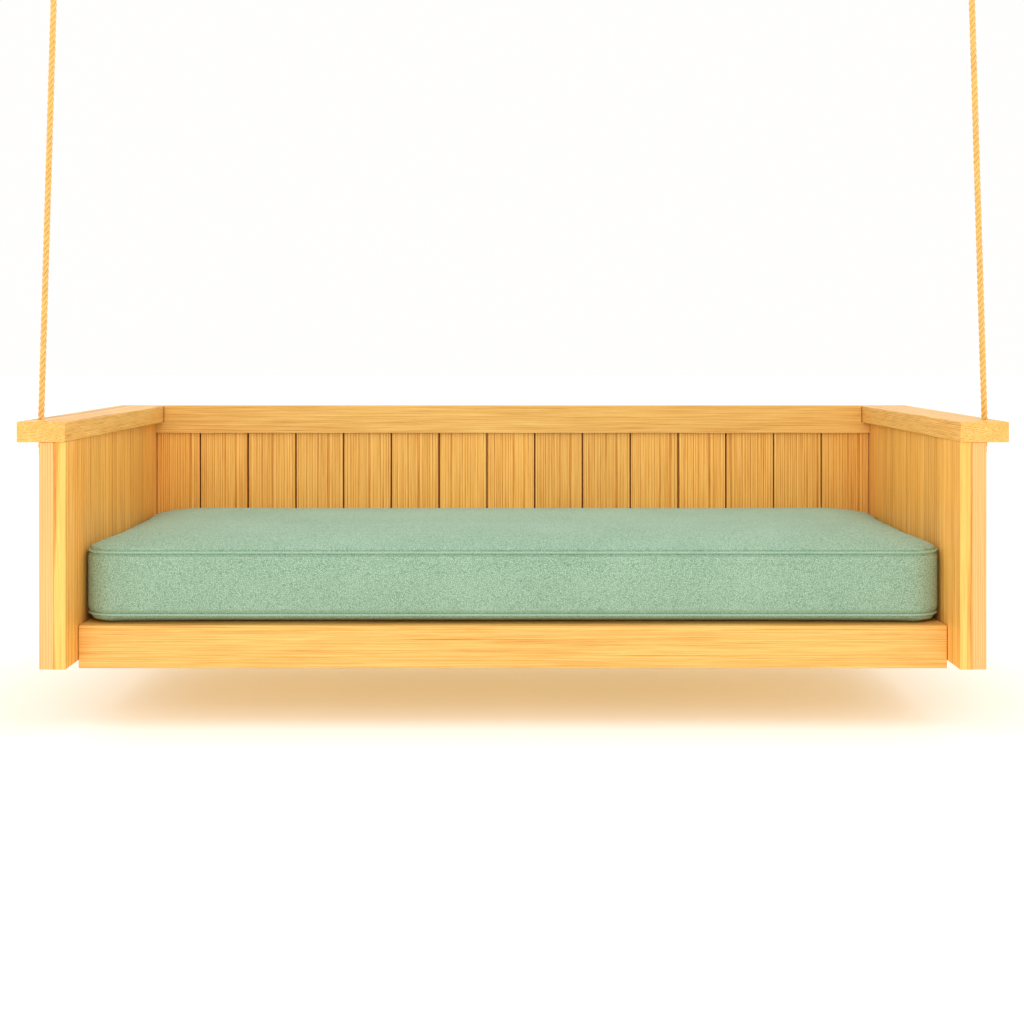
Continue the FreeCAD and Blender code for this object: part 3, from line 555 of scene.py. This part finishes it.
# %% Rope and twine materials
def fibre_material(name, colours, yarns, pitch, roughness):
    """Twisted fibre: colours are the painted shade in the grooves, the yarn's own colour and a painted highlight on
    the crests; pitch is one yarn turn.
    """
    material, tree, shader = new_material(name)
    uv = node(tree, "UVMap", {"uv_map": "along"}).outputs["UV"]
    parts = node(tree, "SeparateXYZ", Vector=uv).outputs
    climb = math_node(tree, "MULTIPLY", parts["Y"], -1 / pitch)
    turn = math_node(tree, "ADD", math_node(tree, "MULTIPLY", parts["X"], float(yarns)), climb)
    wave = math_node(tree, "SINE", math_node(tree, "MULTIPLY", turn, 2 * math.pi))
    wave = math_node(tree, "MULTIPLY_ADD", wave, 0.5, 0.5)
    space = node(tree, "TexCoord").outputs["Object"]
    fuzz = node(tree, "TexNoise", Vector=space, Scale=2600.0, Detail=3.0, Roughness=0.65).outputs["Fac"]
    blotch = node(tree, "TexNoise", Vector=space, Scale=55.0, Detail=2.0).outputs["Fac"]
    # painted shade and painted highlight: the twist wave darkens the grooves between yarns and lightens their crests;
    # fuzz and blotch are the fibre's own tone
    tone = math_node(tree, "MULTIPLY", wave, 0.42)
    tone = math_node(tree, "MULTIPLY_ADD", fuzz, 0.46, tone)
    tone = math_node(tree, "MULTIPLY_ADD", blotch, 0.34, tone)
    colour = ramp(tree, math_node(tree, "SUBTRACT", tone, 0.08),
                  [(0.12, colours[0]), (0.48, colours[1]), (0.88, colours[2])])
    tree.links.new(colour, shader.inputs["Base Color"])
    tree.links.new(math_node(tree, "MULTIPLY_ADD", fuzz, 0.2, roughness), shader.inputs["Roughness"])
    shader.inputs["Specular IOR Level"].default_value = 0.2
    shader.inputs["Sheen Weight"].default_value = 0.15
    height = math_node(tree, "MULTIPLY_ADD", fuzz, 0.5, wave)
    bump = node(tree, "Bump", Height=height, Strength=0.6, Distance=0.0004)
    tree.links.new(bump.outputs[0], shader.inputs["Normal"])
    return material


rope_material = fibre_material("laid rope", [(0.50, 0.22, 0.045), (0.86, 0.50, 0.13), (0.98, 0.68, 0.25)],
                               yarns=7, pitch=0.0042, roughness=0.68)
twine_material = fibre_material("waxed twine", [(0.40, 0.22, 0.08), (0.68, 0.45, 0.19), (0.86, 0.64, 0.34)],
                                yarns=3, pitch=0.0030, roughness=0.5)
print("rope and twine materials made")

# %% [markdown]
# The rope bends where the bench turns under it, at the arm cap's top; its centre line passes through that point.

# %% The two ropes
STRANDS = 3
STRAND_RADIUS = 0.002785
STRAND_OFFSET = 0.003215  # from the rope's middle to a strand's
STRAND_SIDES = 10
ROPE_LAY = 0.036
ROPE_STEP = 0.0022

ropes = {}
rope_lines = {}
for side, sign in (("right", 1), ("left", -1)):
    route = [(sign * x, y, z) for x, y, z in ROPE_ROUTE]
    line, rope_length = even_steps(centre_line("rope line " + side, route), ROPE_STEP)
    strands = laid_strands(line, STRANDS, ROPE_LAY, STRAND_OFFSET)
    rope = tubes_object("rope_" + side, [(strand, STRAND_RADIUS, STRAND_SIDES) for strand in strands],
                        rope_material)
    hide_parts("upper_rope_" + side, "lower_rope_" + side)
    ropes[side], rope_lines[side] = rope, line
    print(rope.name, "length", round(rope_length, 3), "triangles", 2 * len(rope.data.polygons))

# %% [markdown]
# Under each thimble twine binds the two legs of the rope, turn beside turn, and the rope's cut end is whipped with
# the same twine. Below the bracket sits a stopper knot: three strands tucked round each other into a ribbed button,
# with a short tail.

# %% Seizings, whippings and knots
TWINE_RADIUS = 0.00105
TWINE_PITCH = 0.00215
TWINE_SIDES = 8
SEIZING_TOP, SEIZING_BOTTOM, SEIZING_RADIUS = -0.1405, -0.1835, 0.0071
WHIP_TOP, WHIP_BOTTOM, WHIP_RADIUS = -0.1885, -0.2005, 0.0069
FLATNESS = 3  # how straight the twine runs from one leg to the other
KNOT_TURNS = 2.35
KNOT_DEPTH, KNOT_LENGTH = 0.0042, 0.0262
KNOT_WAIST, KNOT_BELLY, KNOT_ROUNDNESS = 0.0036, 0.0052, 0.45
KNOT_SWAY = 0.0024
KNOT_STRAND_RADIUS, KNOT_CORE_RADIUS = 0.0043, 0.0055


def wound(centre_x, reach_y, radius, top, bottom, steps):
    """A line wound down round two legs that stand reach_y either side of y = 0, or round one leg if it is 0."""
    turns = (top - bottom) / TWINE_PITCH
    angle = np.linspace(0, 2 * math.pi * turns, int(turns * steps))
    y = radius * np.sin(angle) + reach_y * np.tanh(FLATNESS * np.sin(angle)) / math.tanh(FLATNESS)
    z = top - TWINE_PITCH * angle / (2 * math.pi)
    return np.stack([centre_x + radius * np.cos(angle), y, z], axis=1)


def upright_line(x, top, bottom, count):
    """Points straight down at x, in the plane of the ropes."""
    return np.stack([np.full(count, x), np.zeros(count), np.linspace(top, bottom, count)], axis=1)


def knot_lines(centre_x, top):
    """Three strands that wind round the knot's middle in rising and falling loops."""
    lines = []
    t = np.linspace(0, 1, 150)
    radius = KNOT_WAIST + KNOT_BELLY * np.sin(math.pi * t) ** KNOT_ROUNDNESS
    for k in range(STRANDS):
        angle = 2 * math.pi * (KNOT_TURNS * t + k / STRANDS)
        z = top - KNOT_DEPTH - KNOT_LENGTH * t + KNOT_SWAY * np.sin(2 * angle + k)
        lines.append(np.stack([centre_x + radius * np.cos(angle), radius * np.sin(angle), z], axis=1))
    return lines


knot_low, knot_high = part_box("rope_knots")
knot_foot, knot_top = knot_low[2], knot_high[2]
for side, sign in (("right", 1), ("left", -1)):
    hanger_x, bracket_x = sign * HANGER_X, sign * BRACKET_X
    seizing_turns = wound(hanger_x, LEG_Y, SEIZING_RADIUS, SEIZING_TOP, SEIZING_BOTTOM, 40)
    whipping = wound(hanger_x, 0.0, WHIP_RADIUS, WHIP_TOP, WHIP_BOTTOM, 24) + np.array([0, LEG_Y, 0])
    seizing = tubes_object("seizing_" + side, [(line, TWINE_RADIUS, TWINE_SIDES)
                                               for line in (seizing_turns, whipping)], twine_material)
    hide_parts("rope_seizings")
    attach(seizing, "ropes")
    tail = upright_line(bracket_x, knot_top - 0.029, knot_foot + 0.001, 24)
    core = upright_line(bracket_x, knot_top - 0.002, knot_top - 0.031, 12)
    knot_tubes = [(line, KNOT_STRAND_RADIUS, STRAND_SIDES) for line in knot_lines(bracket_x, knot_top)]
    knot_tubes += [(line, STRAND_RADIUS, STRAND_SIDES)
                   for line in laid_strands(tail, STRANDS, ROPE_LAY, STRAND_OFFSET)]
    knot_tubes.append((core, KNOT_CORE_RADIUS, STRAND_SIDES))
    knot = tubes_object("knot_" + side, knot_tubes, rope_material)
    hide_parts("rope_knots")
    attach(knot, "bench")
    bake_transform(ropes[side])
    print(seizing.name, 2 * len(seizing.data.polygons), "triangles;", knot.name, 2 * len(knot.data.polygons))

# %% [markdown]
# ## The cushion
#
# A boxed cushion is two panels and a strip between them, joined by two piped seams. The seams hold still and the
# panels swell between them, so that is how it is made: a plain block is remeshed, its seams are pinned, and cloth
# simulation blows it up from within. How far a point may go is limited, because foam is not a balloon.

# %% The block that the cushion grows from
CUSHION_HALF = 0.8235
CUSHION_FRONT, CUSHION_BACK = 0.020, 0.6250
CUSHION_TOP, CUSHION_FOOT = -1.2930, -1.4405
TOP_SEAM, FOOT_SEAM = -1.3045, -1.4235
CORNER_RADIUS = 0.056
TOP_EASE, FOOT_EASE = 0.009, 0.019
VOXEL = 0.0115
SEAM_PULL = 0.0046
SEAM_PULL_HEIGHT = 0.0055  # how far above and below a seam the pull reaches
SEAM_PULL_DEPTH = 0.03  # only points this near to the sides are pulled
CROWN_LIMIT, SIDE_LIMIT = 0.027, 0.0060
ROOM_HALF = 0.8240  # the cushion stays clear of the sides, the front and the back
ROOM_FRONT, ROOM_BACK = 0.012, 0.6280
PIN_BAND = 0.016
PRESSURE = 16.0
LAST_FRAME = 20


def box_with_round_corners():
    """A block with rounded upright corners and eased rims."""
    work = bmesh.new()
    bmesh.ops.create_cube(work, size=1)
    size = (2 * CUSHION_HALF, CUSHION_BACK - CUSHION_FRONT, CUSHION_TOP - CUSHION_FOOT)
    centre = (0, (CUSHION_BACK + CUSHION_FRONT) / 2, (CUSHION_TOP + CUSHION_FOOT) / 2)
    bmesh.ops.scale(work, vec=size, verts=work.verts)
    bmesh.ops.translate(work, vec=centre, verts=work.verts)
    upright = [e for e in work.edges if abs(e.verts[0].co.z - e.verts[1].co.z) > 0.05]
    bmesh.ops.bevel(work, geom=upright, offset=CORNER_RADIUS, segments=10, profile=0.5, affect="EDGES")
    for height, offset in ((CUSHION_TOP, TOP_EASE), (CUSHION_FOOT, FOOT_EASE)):
        rim = [e for e in work.edges if all(abs(v.co.z - height) < 1e-5 for v in e.verts)]
        bmesh.ops.bevel(work, geom=rim, offset=offset, segments=4, profile=0.5, affect="EDGES")
    bmesh.ops.recalc_face_normals(work, faces=work.faces)
    mesh = bpy.data.meshes.new("cushion")
    work.to_mesh(mesh)
    work.free()
    return link(bpy.data.objects.new("cushion", mesh))


def bake(obj):
    """Replaces the object's mesh by what its modifiers make of it."""
    bpy.context.view_layer.update()
    made = bpy.data.meshes.new_from_object(obj.evaluated_get(bpy.context.evaluated_depsgraph_get()))
    obj.modifiers.clear()
    old, obj.data = obj.data, made
    bpy.data.meshes.remove(old)


def coordinates(mesh):
    """The mesh's vertices as an array."""
    flat = np.empty(len(mesh.vertices) * 3)
    mesh.vertices.foreach_get("co", flat)
    return flat.reshape(-1, 3)


cushion = box_with_round_corners()
remesh = cushion.modifiers.new("remesh", "REMESH")
remesh.mode = "VOXEL"
remesh.voxel_size = VOXEL
bake(cushion)
print("cushion block", len(cushion.data.vertices), "vertices")


# %% Swell it
def depth_from_sides(points):
    """How far each point lies inside the block's four sides."""
    return np.minimum(CUSHION_HALF - np.abs(points[:, 0]),
                      np.minimum(points[:, 1] - CUSHION_FRONT, CUSHION_BACK - points[:, 1]))


def swell(obj, rest):
    """Blows the cushion up between its pinned seams; returns how far each point moved."""
    near_side = depth_from_sides(rest) < PIN_BAND
    pins = obj.vertex_groups.new(name="seams")
    for seam in (TOP_SEAM, FOOT_SEAM):
        held = np.nonzero(near_side & (np.abs(rest[:, 2] - seam) < 0.6 * VOXEL))[0]
        pins.add([int(i) for i in held], 1.0, "REPLACE")
    cloth = obj.modifiers.new("cloth", "CLOTH")
    cloth.settings.vertex_group_mass = "seams"
    cloth.settings.use_pressure = True
    cloth.settings.uniform_pressure_force = PRESSURE
    cloth.settings.effector_weights.gravity = 0.0
    cloth.settings.quality = 4
    cloth.collision_settings.use_collision = False
    cloth.point_cache.frame_start = 1
    cloth.point_cache.frame_end = LAST_FRAME
    for frame_number in range(1, LAST_FRAME + 1):
        bpy.context.scene.frame_set(frame_number)
    swollen = obj.evaluated_get(bpy.context.evaluated_depsgraph_get())
    moved = coordinates(swollen.data) - rest
    obj.modifiers.clear()
    obj.vertex_groups.clear()
    bpy.context.scene.frame_set(1)
    print("cloth moved points up to", round(float(np.abs(moved).max()) * 1000, 1), "mm")
    return moved


def move_points(mesh, points):
    """Puts the mesh's vertices at new points."""
    mesh.vertices.foreach_set("co", points.ravel())
    mesh.update()


rest = coordinates(cushion.data)
moved = swell(cushion, rest)
limits = np.array([SIDE_LIMIT, SIDE_LIMIT, CROWN_LIMIT])
shaped = rest + limits * np.tanh(moved / limits)
shaped[:, 0] = np.clip(shaped[:, 0], -ROOM_HALF, ROOM_HALF)
shaped[:, 1] = np.clip(shaped[:, 1], ROOM_FRONT, ROOM_BACK)
shaped[:, 2] = np.maximum(shaped[:, 2], CUSHION_FOOT)
move_points(cushion.data, shaped)
smooth = cushion.modifiers.new("smooth", "SUBSURF")
smooth.levels = smooth.render_levels = 1
bake(cushion)



def towards_middle(offset, start, width):
    """Minus the offset's sign, growing from 0 at start to 1 at start + width from the middle."""
    return -np.sign(offset) * np.clip((np.abs(offset) - start) / width, 0, 1)


points = coordinates(cushion.data)
near_side = depth_from_sides(points) < SEAM_PULL_DEPTH
middle_y = (CUSHION_FRONT + CUSHION_BACK) / 2
inward = np.stack([towards_middle(points[:, 0], 0.74, 0.06), towards_middle(points[:, 1] - middle_y, 0.24, 0.04),
                   np.zeros(len(points))], axis=1)
inward /= np.maximum(np.linalg.norm(inward, axis=1), 1e-6)[:, None]
for seam in (TOP_SEAM, FOOT_SEAM):
    pull = SEAM_PULL * np.exp(-((points[:, 2] - seam) / SEAM_PULL_HEIGHT) ** 2) * near_side
    points = points + inward * pull[:, None]
move_points(cushion.data, points)
cushion.data.shade_smooth()
crown = float(coordinates(cushion.data)[:, 2].max())
print("cushion", len(cushion.data.polygons), "faces; crown at", round(crown, 4))

# %% [markdown]
# The cover is an outdoor cloth with a pebbled face. Small cells give the pebbles, and a much finer weave lies over
# them. The piping is cut from the same cloth with tighter pebbles, and it is drawn lighter: a painted highlight along
# its raised cord.

# %% Cloth materials
CLOTH_COLOURS = ((0.112, 0.226, 0.140), (0.325, 0.476, 0.338), (0.500, 0.656, 0.508))


def cloth_material(name, shade, pebble, depth):
    """Pebbled green cloth; pebble is the size of a cell in metres."""
    material, tree, shader = new_material(name)
    space = node(tree, "TexCoord").outputs["Object"]
    wobble = node(tree, "TexNoise", Vector=space, Scale=240.0, Detail=2.0).outputs["Color"]
    moved_point = vector_node(tree, "MULTIPLY_ADD", wobble, (0.0016, 0.0016, 0.0016), space)
    cells = node(tree, "TexVoronoi", Vector=moved_point, Scale=1 / pebble)
    edge = node(tree, "TexVoronoi", {"feature": "DISTANCE_TO_EDGE"}, Vector=moved_point, Scale=1 / pebble)
    valley = node(tree, "MapRange", {"interpolation_type": "SMOOTHSTEP"}, Value=edge.outputs["Distance"],
                  _1=0.0, _2=0.28, _3=0.0, _4=1.0).outputs[0]
    own = node(tree, "SeparateXYZ", Vector=cells.outputs["Color"]).outputs["X"]
    weave = node(tree, "TexNoise", Vector=space, Scale=1500.0, Detail=2.0, Roughness=0.6).outputs["Fac"]
    cloud = node(tree, "TexNoise", Vector=space, Scale=7.0, Detail=2.0).outputs["Fac"]
    # painted shade: the valleys between pebbles are darkened; the cells' own tone, the weave and the cloud are the
    # cloth's colour
    tone = math_node(tree, "MULTIPLY", valley, 0.46)
    tone = math_node(tree, "MULTIPLY_ADD", own, 0.12, tone)
    tone = math_node(tree, "MULTIPLY_ADD", weave, 0.26, tone)
    tone = math_node(tree, "MULTIPLY_ADD", cloud, 0.16, tone)
    dark, middle_tone, light = (tuple(c * shade for c in colour) for colour in CLOTH_COLOURS)
    colour = ramp(tree, tone, [(0.10, dark), (0.55, middle_tone), (1.0, light)])
    tree.links.new(colour, shader.inputs["Base Color"])
    tree.links.new(math_node(tree, "MULTIPLY_ADD", weave, 0.2, 0.72), shader.inputs["Roughness"])
    shader.inputs["Specular IOR Level"].default_value = 0.18
    shader.inputs["Sheen Weight"].default_value = 0.12
    shader.inputs["Sheen Roughness"].default_value = 0.5
    height = math_node(tree, "MULTIPLY_ADD", weave, 0.25, valley)
    bump = node(tree, "Bump", Height=height, Strength=0.5, Distance=depth)
    tree.links.new(bump.outputs[0], shader.inputs["Normal"])
    return material


cover_material = cloth_material("pebbled cover cloth", 1.02, 0.0031, 0.0006)
# painted highlight: the piping's colours are scaled higher than the cover's, standing in for the light its raised cord
# catches
piping_material = cloth_material("piping cloth", 1.14, 0.0014, 0.0003)
thread_material, tree, shader = new_material("sewing thread")
space = node(tree, "TexCoord").outputs["Object"]
twist = node(tree, "TexNoise", Vector=space, Scale=3000.0, Detail=1.0).outputs["Fac"]
tree.links.new(ramp(tree, twist, [(0.3, (0.20, 0.33, 0.21)), (0.7, (0.36, 0.52, 0.36))]),
               shader.inputs["Base Color"])
shader.inputs["Roughness"].default_value = 0.6
cushion.data.materials.append(cover_material)
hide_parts("cushion_cover", "cushion_foam")
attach(cushion, "bench")
print("cushion dressed")

# %% [markdown]
# The piping has to lie on the swollen cloth, wherever that ended up. Rays are sent in from all round at the height
# of each seam, and the cord runs through the places where they hit.

# %% Piping
PIPING_RADIUS = 0.0024
PIPING_SIDES = 10
PIPING_LIFT = 0.0026
RING_STEP = 0.006
START_X, START_FRONT, START_BACK, START_RADIUS = 0.90, -0.06, 0.71, 0.13  # where the rays set out
AIM_X, AIM_FRONT, AIM_BACK = 0.76, 0.085, 0.565  # the rectangle inside the cushion that they aim at

cushion_tree = BVHTree.FromPolygons([v.co for v in cushion.data.vertices],
                                    [tuple(f.vertices) for f in cushion.data.polygons])


def ring_on_cushion(height, lift):
    """A closed line round the cushion at a height, lifted off its surface."""
    corner_x = START_X - START_RADIUS
    corner_front, corner_back = START_FRONT + START_RADIUS, START_BACK - START_RADIUS
    outline = []
    for x, y, start in ((corner_x, corner_front, -90), (corner_x, corner_back, 0),
                        (-corner_x, corner_back, 90), (-corner_x, corner_front, 180)):
        for k in range(25):
            angle = math.radians(start + 90 * k / 24)
            outline.append((x + START_RADIUS * math.cos(angle), y + START_RADIUS * math.sin(angle), height))
    outline.append(outline[0])
    outline, _ = even_steps(np.array(outline), RING_STEP)
    hits = []
    for place in outline[:-1]:
        inner = Vector((max(-AIM_X, min(AIM_X, place[0])), max(AIM_FRONT, min(AIM_BACK, place[1])), height))
        aim = (inner - Vector(place)).normalized()
        spot, normal, _, _ = cushion_tree.ray_cast(Vector(place), aim)
        out = Vector((normal.x, normal.y, 0)).normalized()
        hits.append(spot + out * lift)
    hits = np.array([tuple(h) for h in hits])
    for _ in range(4):
        hits = (np.roll(hits, 1, axis=0) + 2 * hits + np.roll(hits, -1, axis=0)) / 4
    return hits


def closed_tube(name, ring, radius, around, material):
    """A tube that joins up with itself."""
    tangents = np.roll(ring, -1, axis=0) - np.roll(ring, 1, axis=0)
    tangents /= np.linalg.norm(tangents, axis=1)[:, None]
    sides = np.cross(tangents, np.array([0.0, 0.0, 1.0]))
    sides /= np.linalg.norm(sides, axis=1)[:, None]
    verts = rings_round(ring, sides, np.cross(sides, tangents), radius, around)
    count = len(ring)
    faces = [(i * around + k, i * around + (k + 1) % around,
              (i + 1) % count * around + (k + 1) % around, (i + 1) % count * around + k)
             for i in range(count) for k in range(around)]
    made = mesh_object(name, verts, faces, material)
    face_outward(made)
    return made


for label, height in (("top", TOP_SEAM), ("foot", FOOT_SEAM)):
    ring = ring_on_cushion(height, PIPING_LIFT)
    piping = closed_tube("piping_" + label, ring, PIPING_RADIUS, PIPING_SIDES, piping_material)
    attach(piping, "bench")
    print(piping.name, len(piping.data.polygons), "faces, x to", round(float(ring[:, 0].max()), 4))

# %% [markdown]
# Stitches repeat along a line, so Geometry Nodes lay them: the line is cut into equal steps, and each step gets one
# short thread turned along it.

# %% Stitches
STITCH_PITCH, STITCH_LENGTH, STITCH_RADIUS = 0.0046, 0.0033, 0.0004
STITCH_LIFT = 0.0002
STITCH_FROM_SEAM = 0.0065


def row_tree():
    """A tree that sets a short rod at every step along a line."""
    tree = bpy.data.node_groups.new("row of stitches", "GeometryNodeTree")
    tree.interface.new_socket("Geometry", in_out="INPUT", socket_type="NodeSocketGeometry")
    for name, default in (("Pitch", STITCH_PITCH), ("Length", STITCH_LENGTH), ("Radius", STITCH_RADIUS)):
        group_input(tree, name, "Float", default)
    tree.interface.new_socket("Material", in_out="INPUT", socket_type="NodeSocketMaterial")
    tree.interface.new_socket("Geometry", in_out="OUTPUT", socket_type="NodeSocketGeometry")
    given = tree.nodes.new("NodeGroupInput").outputs
    result = tree.nodes.new("NodeGroupOutput")

    def add(kind, **settings):
        made = tree.nodes.new(kind)
        for key, setting in settings.items():
            setattr(made, key, setting)
        return made

    to_curve = add("GeometryNodeMeshToCurve")
    steps = add("GeometryNodeResampleCurve", mode="LENGTH")
    rod = add("GeometryNodeMeshCylinder")
    rod.inputs["Vertices"].default_value = 6
    tangent = add("GeometryNodeInputTangent")
    turn = add("FunctionNodeAlignRotationToVector", axis="Z")
    copies = add("GeometryNodeInstanceOnPoints")
    real = add("GeometryNodeRealizeInstances")
    paint = add("GeometryNodeSetMaterial")
    for source, target in (
            (given["Geometry"], to_curve.inputs["Mesh"]),
            (to_curve.outputs["Curve"], steps.inputs["Curve"]), (given["Pitch"], steps.inputs["Length"]),
            (given["Radius"], rod.inputs["Radius"]), (given["Length"], rod.inputs["Depth"]),
            (tangent.outputs["Tangent"], turn.inputs["Vector"]),
            (steps.outputs["Curve"], copies.inputs["Points"]), (rod.outputs["Mesh"], copies.inputs["Instance"]),
            (turn.outputs["Rotation"], copies.inputs["Rotation"]),
            (copies.outputs["Instances"], real.inputs["Geometry"]),
            (real.outputs["Geometry"], paint.inputs["Geometry"]), (given["Material"], paint.inputs["Material"]),
            (paint.outputs["Geometry"], result.inputs["Geometry"])):
        tree.links.new(source, target)
    return tree


stitch_tree = row_tree()
stitch_inputs = {item.name: item.identifier for item in stitch_tree.interface.items_tree
                 if item.in_out == "INPUT"}


def stitched(name, ring, material, **sizes):
    """A closed row of stitches along a ring, as a plain mesh."""
    count = len(ring)
    mesh = bpy.data.meshes.new(name)
    mesh.from_pydata([tuple(p) for p in ring], [(i, (i + 1) % count) for i in range(count)], [])
    made = link(bpy.data.objects.new(name, mesh))
    rows = made.modifiers.new("rows", "NODES")
    rows.node_group = stitch_tree
    for key, size in sizes.items():
        rows[stitch_inputs[key]] = size
    rows[stitch_inputs["Material"]] = material
    bake(made)
    made.data.shade_smooth()
    return made


for label, height in (("top", TOP_SEAM - STITCH_FROM_SEAM), ("foot", FOOT_SEAM + STITCH_FROM_SEAM)):
    stitches = stitched("stitches_" + label, ring_on_cushion(height, STITCH_LIFT), thread_material,
                        Pitch=STITCH_PITCH, Length=STITCH_LENGTH, Radius=STITCH_RADIUS)
    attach(stitches, "bench")
    print(stitches.name, len(stitches.data.polygons), "faces")

# %% [markdown]
# ## Metal
#
# The ceiling hangers and rope brackets are powder coated, which leaves a fine orange peel. Screws, bolts and thimbles
# are zinc plated: pale grey with a cloudy spangle. The bushes are bronze, browned by oil.

# %% Metal materials
def metal_material(name, dark, light, metallic, roughness, cell, depth):
    """A metal with cloudy colour, cells of its own size and a fine surface."""
    material, tree, shader = new_material(name)
    space = node(tree, "TexCoord").outputs["Object"]
    cloud = node(tree, "TexNoise", Vector=space, Scale=60.0, Detail=4.0, Roughness=0.6).outputs["Fac"]
    cells = node(tree, "TexVoronoi", Vector=space, Scale=1 / cell)
    own = node(tree, "SeparateXYZ", Vector=cells.outputs["Color"]).outputs["X"]
    fine = node(tree, "TexNoise", Vector=space, Scale=1400.0, Detail=2.0).outputs["Fac"]
    tone = math_node(tree, "MULTIPLY_ADD", own, 0.35, math_node(tree, "MULTIPLY", cloud, 0.65))
    tree.links.new(ramp(tree, tone, [(0.2, dark), (0.8, light)]), shader.inputs["Base Color"])
    shader.inputs["Metallic"].default_value = metallic
    tree.links.new(math_node(tree, "MULTIPLY_ADD", tone, 0.2, roughness), shader.inputs["Roughness"])
    bump = node(tree, "Bump", Height=fine, Strength=0.3, Distance=depth)
    tree.links.new(bump.outputs[0], shader.inputs["Normal"])
    return material


metals = {
    "black_steel": metal_material("powder coated steel", (0.018, 0.018, 0.02), (0.05, 0.05, 0.053),
                                  metallic=0.0, roughness=0.42, cell=0.0009, depth=0.0002),
    "zinc_steel": metal_material("zinc plated steel", (0.42, 0.42, 0.41), (0.72, 0.72, 0.70),
                                 metallic=1.0, roughness=0.28, cell=0.0035, depth=0.00008),
    "bronze": metal_material("oiled bronze", (0.28, 0.16, 0.06), (0.62, 0.40, 0.18),
                             metallic=1.0, roughness=0.30, cell=0.002, depth=0.00006),
}
METAL_NODES = {
    "black_steel": ("ceiling_hanger_left", "ceiling_hanger_right", "front_rope_brackets", "rear_rope_brackets"),
    "zinc_steel": ("pivot_bolts", "pivot_nuts", "rope_thimbles", "bracket_lags", "rail_lags", "deck_screws",
                   "board_screws"),
    "bronze": ("pivot_bushes",),
}
for kind, names in METAL_NODES.items():
    for name in names:
        dress(name, metals[kind])
print(sum(len(names) for names in METAL_NODES.values()), "metal nodes dressed")
